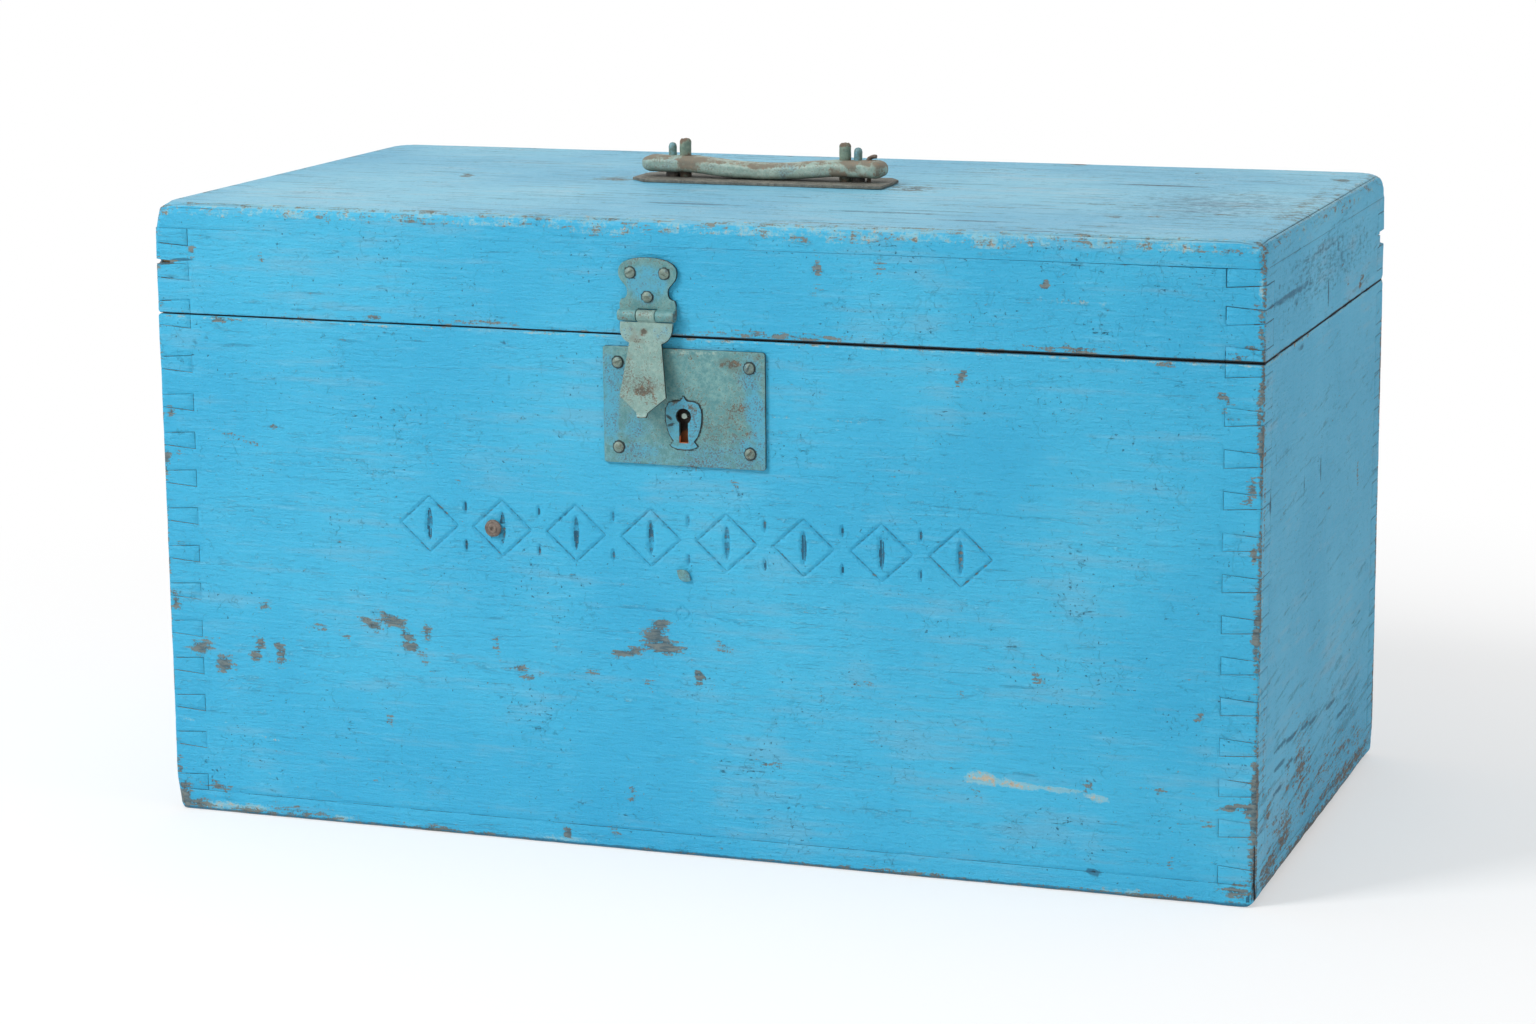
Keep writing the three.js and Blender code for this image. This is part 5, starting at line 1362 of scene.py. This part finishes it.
def bentPlate(point):
    c = plateCorner
    x, y, z = point
    corner = max(0.0, (x - c["across"]) / c["reach"]) * max(0.0, (c["up"] - z) / c["reach"])
    return Vector((x, y - c["out"] * corner, z))


hammered(
    "lock_plate_old", "lock_plate", "chest", irons["green"], plateWear,
    net=1.1 * mm, arris=0.25 * mm, dent=0.12 * mm, shape=bentPlate,
)
hammered(
    "keyhole_shield", "keyhole_escutcheon", "chest", irons["green"], shieldWear,
    net=1.0 * mm, arris=0.25 * mm, dent=0.08 * mm, rim=0.45 * mm,
)
print("lock plate")


def leafWear(point, normal):
    x, y, z = point
    across, up = x / mm, z / mm
    rust = 0.06 + 0.34 * smooth(up, 321, 324.6) + 0.4 * smooth(up, 300, 296) + 0.24 * ripple(x, y, z, 6 * mm)
    middle = smooth(math.hypot((across + 19) / 14, (up - 311) / 12), 1.15, 0.6)
    screws = nearScrews(across, up, leafScrews, 3.0)
    # painted highlight on the leaf's bevelled edges
    edge = smooth(abs(normal.y), 0.99, 0.9) * smooth(abs(normal.y), 0.3, 0.6) * smooth(up, 298, 300)
    side = sideDirtAndShade(normal) * smooth(up, 298, 300) * (1 - edge)
    return rust, 0.2 + 0.55 * middle, max(side, screws), 0.12 + 0.6 * edge


# the flap's tip turns out, and a dimple is punched below its knuckle
flap = {
    "tipFrom": 243.6 * mm,
    "tipTo": 241.2 * mm,
    "tipOut": 1.0 * mm,
    "tipFront": -171.6 * mm,
    "dimpleAcross": -20 * mm,
    "dimpleUp": 285.8 * mm,
    "dimpleWide": 1.789 * mm,
    "dimpleDeep": 0.5 * mm,
    "dimpleFront": -165 * mm,
}
# rust in the dimple, below the knuckle and low on the blade
flapStains = [
    (-20, 285.8, 2.2, 1.8, 0, 1.0), (-22, 281, 9, 1.6, 0, 0.6),
    (-19, 255, 9, 3, 0, 0.66), (-19, 262, 9, 1, 0, 0.45),
]


def flapWear(point, normal):
    x, y, z = point
    up = z / mm
    blade = smooth(up, 291, 289)
    tip = 0.9 * smooth(up, 243, 241.2)
    lower = 0.14 * smooth(up, 262, 250)
    rust = max(0.2 + lower + 0.3 * ripple(x, y, z, 6 * mm), markStrength(x / mm, up, flapStains), tip)
    # painted highlight on the flap's bevels
    bevel = smooth(abs(normal.y), 0.99, 0.88) * smooth(abs(normal.y), 0.3, 0.6) * (1 - tip) * blade
    blue = 0.12 + 0.3 * smooth(up, 276, 284) * smooth(up, 292, 289)
    return rust, blue, 0.9 * sideDirtAndShade(normal) * (1 - bevel) * blade, 0.9 * bevel


def flapShape(point):
    f = flap
    x, y, z = point
    y -= f["tipOut"] * smooth(z, f["tipFrom"], f["tipTo"]) * (1 if y < f["tipFront"] else 0.2)
    if y < f["dimpleFront"]:
        away = math.hypot(x - f["dimpleAcross"], z - f["dimpleUp"]) / f["dimpleWide"]
        y += f["dimpleDeep"] * math.exp(-away * away)
    return Vector((x, y, z))


hammered(
    "hasp_leaf_old", "hasp_leaf", "lid", irons["green"], leafWear,
    net=1.5 * mm, arris=0.4 * mm, dent=0.1 * mm,
)
hammered(
    "hasp_flap_old", "hasp_flap", "hasp", irons["flap"], flapWear,
    net=1.2 * mm, arris=0.6 * mm, dent=0.14 * mm, shape=flapShape,
)
print("hasp")


# round-head screws: a spun dome with a worn slot
screwHead = {
    "radius": 3.0 * mm,
    "high": 1.9 * mm,
    "rim": 0.25 * mm,
    "steps": 7,
    "around": 28,
    "slotWide": 0.5 * mm,
    "slotDeep": 0.7 * mm,
    "shank": 1.5 * mm,
    "long": 8 * mm,
}


def turned(verts, bm, degrees, axis):
    bmesh.ops.rotate(bm, verts=verts, cent=(0, 0, 0), matrix=Matrix.Rotation(math.radians(degrees), 3, axis))


def spun(bm, profile, around):
    verts = [bm.verts.new((radius, 0, up)) for radius, up in profile]
    edges = [bm.edges.new(pair) for pair in zip(verts, verts[1:])]
    bmesh.ops.spin(
        bm, geom=verts + edges, cent=(0, 0, 0), axis=(0, 0, 1), angle=2 * math.pi,
        steps=around, use_merge=True, use_duplicate=False,
    )
    bmesh.ops.remove_doubles(bm, verts=bm.verts, dist=0.001 * mm)
    bmesh.ops.recalc_face_normals(bm, faces=bm.faces)


def screwWear(point, normal):
    x, y, z = point
    drift = ripple(x, y, z, 2.6 * mm)
    # the dome's flanks, turned away from the front, are darkened as painted shade
    return 0.3 + 0.5 * drift, 0.25 - 0.4 * drift, 1.1 * smooth(-normal.y, 0.72, 0.4), 0.2 + 0.3 * drift


def domeScrew(name, node, body, slotTurn):
    s = screwHead
    bm = bmesh.new()
    profile = [(0, -s["long"]), (s["shank"], 1 * mm - s["long"]), (s["shank"], 0)]
    profile += [(s["radius"] * 0.96, 0), (s["radius"], s["rim"])]
    for step in range(1, s["steps"] + 1):
        turn = step / s["steps"] * math.pi / 2
        profile.append((s["radius"] * math.cos(turn), s["rim"] + (s["high"] - s["rim"]) * math.sin(turn)))
    profile[-1] = (0, s["high"])
    spun(bm, profile, s["around"])
    for edge in (-1.5, -1, 1, 1.5):
        sliced(bm, 1, [edge * s["slotWide"]])
    for vert in bm.verts:
        if vert.co.z > 0.7 * mm and abs(vert.co.y) < 1.01 * s["slotWide"]:
            floor = s["high"] - 0.75 * mm
            vert.co.z = max(min(vert.co.z, floor), vert.co.z - s["slotDeep"])
        vert.co += Vector((1, 1, 1)) * 0.05 * mm * ripple(*vert.co, 1.6 * mm)
    turned(bm.verts, bm, slotTurn, "Z")
    turned(bm.verts, bm, 90, "X")
    low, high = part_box(node)
    seat = Vector(((low.x + high.x) / 2, low.y + s["high"], (low.z + high.z) / 2))
    bmesh.ops.translate(bm, verts=bm.verts, vec=seat)
    finished(bm, name, body, [node], [irons["screw"]], screwWear)


for number, turn in enumerate((20, 65, -15, 40), 1):
    domeScrew(f"lock_plate_screw_{number}", f"lock_screw_{number}", "chest", turn)
for number, turn in enumerate((30, -25, 5), 1):
    domeScrew(f"leaf_screw_{number}", f"hasp_screw_{number}", "lid", turn)
print("screws")


# rusty nail with a ring in its head, and the flattened one below
def headNail():
    low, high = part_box("front_nail")
    middle = Vector(((low.x + high.x) / 2, -chest["halfDeep"], (low.z + high.z) / 2))
    bm = bmesh.new()
    profile = [
        (0, -8), (1.9, -7), (1.9, 0), (4.3, 0), (4.75, 0.35), (4.7, 0.95), (4.2, 1.5),
        (3.4, 1.75), (2.8, 1.6), (2.3, 2.05), (1.8, 2.2), (1.2, 2.0), (0.9, 1.3), (0, 1.2),
    ]
    spun(bm, [(radius * mm, up * mm) for radius, up in profile], 36)
    for vert in bm.verts:
        vert.co += vert.co.normalized() * 0.22 * mm * ripple(*vert.co, 2.4 * mm)
    turned(bm.verts, bm, 90, "X")
    bmesh.ops.translate(bm, verts=bm.verts, vec=middle)
    finished(bm, "ring_head_nail", "chest", ["front_nail"], [irons["ring"]])


def leafNail():
    bm = copyOfNode("flattened_nail")
    softenEdges(bm, 0.3 * mm, 2, 40)
    low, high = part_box("flattened_nail")
    sliced(bm, 0, evenPlaces(low.x, high.x, 0.8 * mm))
    sliced(bm, 2, evenPlaces(low.z, high.z, 0.8 * mm))
    for vert in bm.verts:
        vert.co.y += 0.3 * mm * ripple(*vert.co, 2.2 * mm)
    wear = evenWear(0.25, 0.4, 0.5)
    finished(bm, "beaten_nail", "chest", ["flattened_nail"], [irons["green"]], wear)


headNail()
leafNail()


# handle: a hand-forged bar that sags to its plate, held by bolts and studs
handle = {
    "middle": Vector((-18 * mm, 21 * mm, 344.5 * mm)),
    "plateThick": 1.5 * mm,
    "plateHalfLong": 76 * mm,
    "plateCurl": 0.35 * mm,
    "halfLong": 73.5 * mm,
    "lift": 2.9 * mm,
    "high": 9.2 * mm,
    "wide": 15 * mm,
    "forward": 1.6 * mm,
    "endRound": 7 * mm,
    "boltOut": 48 * mm,
    "boltTop": 22.6 * mm,
    "studOut": 55.7 * mm,
}


def barCentre(along):
    h = handle
    share = min(1.0, abs(along) / (h["boltOut"] - 3.4 * mm))
    drop = (h["lift"] - 0.1 * mm) * (1 - share * share) ** 1.5
    return h["plateThick"] + h["lift"] + h["high"] / 2 - drop


def barFull(along):
    # the bar's fullness: round at its ends, and a little swollen at the right one
    h = handle
    waist = 1 + 0.07 * smooth(along, 52 * mm, 66 * mm)
    into = max(0.0, abs(along) - (h["halfLong"] - h["endRound"])) / h["endRound"]
    return waist * math.sqrt(max(0.0, 1 - into * into))


def forgedBar():
    h = handle
    bm = bmesh.new()
    places = [-h["halfLong"] + h["endRound"] * (1 - math.cos(step / 6 * math.pi / 2)) for step in range(1, 7)]
    places += evenPlaces(places[-1], -places[-1], 1.9 * mm) + [-place for place in reversed(places)]
    ring = bmesh.ops.create_circle(bm, cap_ends=False, segments=28, radius=1.0)["verts"]
    turned(ring, bm, 90, "Y")
    bmesh.ops.translate(bm, verts=ring, vec=(places[0], 0, 0))
    edges = bm.edges[:]
    bmesh.ops.edgeloop_fill(bm, edges=edges)
    for before, after in zip(places, places[1:]):
        made = bmesh.ops.extrude_edge_only(bm, edges=edges)["geom"]
        verts = [item for item in made if isinstance(item, bmesh.types.BMVert)]
        edges = [item for item in made if isinstance(item, bmesh.types.BMEdge)]
        edges = [edge for edge in edges if all(vert in verts for vert in edge.verts)]
        bmesh.ops.translate(bm, verts=verts, vec=(after - before, 0, 0))
    bmesh.ops.edgeloop_fill(bm, edges=edges)
    bmesh.ops.recalc_face_normals(bm, faces=bm.faces)
    for vert in bm.verts:
        along = vert.co.x
        full = barFull(along)
        square = 1 + 0.16 * (2 * abs(vert.co.y * vert.co.z)) ** 2
        y = vert.co.y * square * full * h["wide"] / 2 - h["forward"]
        z = vert.co.z * square * full * h["high"] / 2
        grow = 1 + 0.045 * ripple(along, y * 2, z * 2, 13 * mm) + 0.03 * ripple(along, y, z, 4 * mm)
        lean = 0.5 * mm * ripple(along, 0, 0, 40 * mm)
        z = max(z * grow + barCentre(along), h["plateThick"] + 0.1 * mm)
        vert.co = h["middle"] + Vector((along, y * grow + lean, z))
    finished(bm, "forged_bar", "lid", ["handle_bar"], [irons["bar"]], barWear, 60)


def barWear(point, normal):
    x, y, z = point
    drift = ripple(x, y, z, 15 * mm)
    fine = ripple(x, y, z, 5 * mm)
    top = smooth(normal.z, 0.1, 0.66)
    rightEnd = 0.3 * smooth(x, 28 * mm, 44 * mm)
    around = math.exp(-((abs(x - handle["middle"].x) - handle["boltOut"]) / (11 * mm)) ** 2)
    rust = 0.2 + 0.46 * top + 0.16 * around * (0.6 + drift) + 0.5 * drift + 0.5 * fine + rightEnd
    # painted shade: the bar's underside is darkened
    under = smooth(-normal.z, 0.45, 0.9)
    return rust, 0.26 - 0.4 * drift, 0.6 * under, 0.12 * (1 - top)


def boltWear(point, normal):
    x, y, z = point
    tip = smooth(z, 364.4 * mm, 366.6 * mm)
    foot = smooth(z, 360 * mm, 358.5 * mm)
    return 0.26 + 0.5 * tip + 0.4 * foot + 0.3 * ripple(x, y, z, 3 * mm), 0.0, 0.1, 0.0


def brokenBolt(side, sign):
    h = handle
    bm = bmesh.new()
    top = h["boltTop"] / mm
    profile = [
        (0, -18.4), (5.6, -18.3), (6.9, -17), (7.0, -14.1), (3.3, -14), (3.35, 0), (3.4, 12),
        (3.35, top - 1.2), (3.1, top - 0.3), (2.2, top + 0.5), (1.2, top + 0.3), (0, top + 0.6),
    ]
    spun(bm, [(radius * mm, up * mm) for radius, up in profile], 26)
    sliced(bm, 2, evenPlaces(10 * mm, top * mm, 1.2 * mm))
    for vert in bm.verts:
        upper = smooth(vert.co.z, (top - 3) * mm, top * mm)
        grow = 1 + 0.07 * ripple(vert.co.x + sign, vert.co.y, vert.co.z, 4 * mm)
        vert.co.x *= grow
        vert.co.y *= grow
        vert.co.z += upper * 0.55 * mm * ripple(vert.co.x + sign, vert.co.y, 0, 1.7 * mm)
    bmesh.ops.translate(bm, verts=bm.verts, vec=h["middle"] + Vector((sign * h["boltOut"], 0, 0)))
    node = f"handle_bolt_{side}"
    finished(bm, f"broken_bolt_{side}", "lid", [node], [irons["bolt"]], boltWear)


def roundStud(side, sign):
    h = handle
    bm = bmesh.new()
    profile = [
        (0, -10.8), (1.6, -10.2), (2.4, -8.6), (2.42, 0), (2.4, 10),
        (2.38, 18.2), (2.1, 19.6), (1.4, 20.5), (0, 20.9),
    ]
    spun(bm, [(radius * mm, up * mm) for radius, up in profile], 22)
    sliced(bm, 2, evenPlaces(9 * mm, 18 * mm, 1.5 * mm))
    for vert in bm.verts:
        grow = 1 + 0.06 * ripple(vert.co.x - sign, vert.co.y, vert.co.z, 3.5 * mm)
        vert.co.x *= grow
        vert.co.y *= grow
    bmesh.ops.translate(bm, verts=bm.verts, vec=h["middle"] + Vector((sign * h["studOut"], 0, 0)))
    node = f"handle_stud_{side}"
    wear = evenWear(0.18, 0.5, 0.2)
    finished(bm, f"round_stud_{side}", "lid", [node], [irons["screw"]], wear)


def hookNail():
    bm = copyOfNode("bent_nail")
    softenEdges(bm, 0.2 * mm, 2, 30)
    bm.normal_update()
    for vert, out in [(vert, vert.normal.copy()) for vert in bm.verts]:
        vert.co += out * 0.35 * mm * smooth(vert.co.z, 354 * mm, 357 * mm)
    for vert in bm.verts:
        tip = smooth(vert.co.z, 359 * mm, 361.5 * mm)
        outward = math.copysign(1, vert.co.y - handle["middle"].y)
        vert.co.y += 0.3 * mm * ripple(*vert.co, 1.5 * mm) + tip * 0.5 * mm * outward
        vert.co.z += 0.25 * mm * ripple(*vert.co, 1.2 * mm) - 0.5 * mm * tip
    finished(bm, "bent_over_nail", "lid", ["bent_nail"], [irons["rust"]], None, 60)


# how the plate's front left corner is clipped
plateClip = {"back": 10 * mm, "from": -82 * mm, "to": -95 * mm}


def platePlace(point):
    # the plate's ends curl up, the right one more
    x, y, z = point
    h = handle
    out = abs(x - h["middle"].x) / h["plateHalfLong"]
    z += h["plateCurl"] * out ** 3 * (1 if x > h["middle"].x else 0.3)
    clipped = plateClip["back"] * smooth(x, plateClip["from"], plateClip["to"])
    if y < clipped:
        y = clipped + 0.04 * (y - clipped)
    return Vector((x, y, z))


hammered(
    "handle_plate_old", "handle_plate", "lid", irons["plate"], None,
    net=3 * mm, arris=0.2 * mm, dent=0.12 * mm, shape=platePlace,
)
forgedBar()
for side, sign in (("left", -1), ("right", 1)):
    brokenBolt(side, sign)
    roundStud(side, sign)
hookNail()
print("handle")


# hinges behind
for side in ("left", "right"):
    for leaf, body in (("lid", "lid"), ("body", "chest")):
        hammered(
            f"butt_hinge_{side}_{leaf}", f"hinge_{side}_{leaf}_leaf", body, irons["green"],
            evenWear(0.34, 0.3, 0.1), net=3 * mm, arris=0.3 * mm, dent=0.08 * mm,
        )
print("hinges")


# CAD pieces that stay as they are get their finish here
def refinish(node, material):
    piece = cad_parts[node]
    piece.data.materials.clear()
    piece.data.materials.append(material)


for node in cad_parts:
    if node.startswith("bottom_nail") or ("hinge" in node and "screw" in node):
        refinish(node, irons["rust"])
    elif node in ("hasp_pin", "hasp_staple") or (node.startswith("hinge") and node.endswith("pin")):
        refinish(node, irons["rustPainted"])
    elif node == "lock_case":
        refinish(node, irons["lock"])
    elif node in ("lock_bolt", "lock_spring") or node.startswith("handle_spacer"):
        refinish(node, irons["dark"])
    elif node == "lock_key_pin":
        refinish(node, irons["screw"])
print("carried pieces finished")


# floor, light and camera

def seenDirectly(tree):
    # 1 for rays that show the room itself, 0 for those that only light the chest
    rays = put(tree, "ShaderNodeLightPath")
    seen = calc(tree, "MAXIMUM", rays.outputs["Is Camera Ray"], rays.outputs["Is Glossy Ray"])
    return calc(tree, "MAXIMUM", seen, rays.outputs["Is Transmission Ray"])


stage = {
    "floorHalf": 6.0,
    "floorShade": 1.0,
    "fadeFrom": 0.42,
    "fadeTo": 0.95,
    "nearShare": 0.46,
    "roomLight": 0.42,
    "lampAim": (0, 0, 0.15),
}


def paleFloor():
    bm = bmesh.new()
    bmesh.ops.create_grid(bm, x_segments=8, y_segments=8, size=stage["floorHalf"])
    mesh = bpy.data.meshes.new("pale_floor")
    bm.to_mesh(mesh)
    bm.free()
    floor = bpy.data.objects.new("pale_floor", mesh)
    bpy.context.collection.objects.link(floor)
    material = bpy.data.materials.new("pale_floor")
    material.use_nodes = True
    tree = material.node_tree
    tree.nodes.clear()
    output = tree.nodes.new("ShaderNodeOutputMaterial")
    where = place(tree)
    paint = put(tree, "ShaderNodeBsdfDiffuse", {"Color": (*[stage["floorShade"]] * 3, 1)})
    far = put(tree, "ShaderNodeEmission", {"Color": (1, 1, 1, 1), "Strength": 1.0})
    distance = put(tree, "ShaderNodeVectorMath", {0: where}, operation="LENGTH").outputs["Value"]
    mask = ramp(tree, distance, stage["fadeFrom"], stage["fadeTo"], stage["nearShare"], 1.0)
    share = calc(tree, "MULTIPLY", mask, seenDirectly(tree))
    mixed = put(tree, "ShaderNodeMixShader", {0: share, 1: paint.outputs[0], 2: far.outputs[0]})
    tree.links.new(mixed.outputs[0], output.inputs[0])
    mesh.materials.append(material)


def softWorld():
    world = bpy.data.worlds.new("soft_room")
    bpy.context.scene.world = world
    world.use_nodes = True
    tree = world.node_tree
    tree.nodes.clear()
    output = tree.nodes.new("ShaderNodeOutputWorld")
    light = put(tree, "ShaderNodeBackground", {"Color": (1, 1, 1, 1), "Strength": stage["roomLight"]})
    white = put(tree, "ShaderNodeBackground", {"Color": (1, 1, 1, 1), "Strength": 1.0})
    shaders = {0: seenDirectly(tree), 1: light.outputs[0], 2: white.outputs[0]}
    mixed = put(tree, "ShaderNodeMixShader", shaders)
    tree.links.new(mixed.outputs[0], output.inputs[0])


lamps = [
    {"name": "window_left", "place": (-1.7, -1.9, 2.2), "size": 1.0, "power": 62},
    {"name": "window_above", "place": (-0.3, 0.2, 2.6), "size": 2.2, "power": 14},
    {"name": "window_right", "place": (2.2, -0.2, 1.5), "size": 1.4, "power": 7},
]


def hangLamps():
    for lamp in lamps:
        light = bpy.data.lights.new(lamp["name"], "AREA")
        light.energy = lamp["power"]
        light.size = lamp["size"]
        holder = bpy.data.objects.new(lamp["name"], light)
        holder.location = lamp["place"]
        aim = Vector(stage["lampAim"]) - holder.location
        holder.rotation_euler = aim.to_track_quat("-Z", "Y").to_euler()
        bpy.context.collection.objects.link(holder)


view = {
    "place": (0.70474, -2.00975, 0.59185),
    "turn": 19.589,
    "dip": 11.504,
    "roll": -0.503,
    "focalPixels": 3810.6,
    "imageWide": 1536,
    "sensor": 36.0,
}


def setCamera():
    turn, dip, roll = (math.radians(view[key]) for key in ("turn", "dip", "roll"))
    forward = Vector((-math.sin(turn) * math.cos(dip), math.cos(turn) * math.cos(dip), -math.sin(dip)))
    right = forward.cross(Vector((0, 0, 1))).normalized()
    up = right.cross(forward)
    rolledRight = math.cos(roll) * right + math.sin(roll) * up
    rolledUp = -math.sin(roll) * right + math.cos(roll) * up
    matrix = Matrix((rolledRight, rolledUp, -forward)).transposed().to_4x4()
    matrix.translation = Vector(view["place"])
    lens = bpy.data.cameras.new("view")
    lens.sensor_width = view["sensor"]
    lens.lens = view["focalPixels"] / view["imageWide"] * view["sensor"]
    camera = bpy.data.objects.new("view", lens)
    camera.matrix_world = matrix
    bpy.context.collection.objects.link(camera)
    bpy.context.scene.camera = camera


paleFloor()
softWorld()
hangLamps()
setCamera()
bpy.context.scene.view_settings.view_transform = "Standard"
print("stage set")
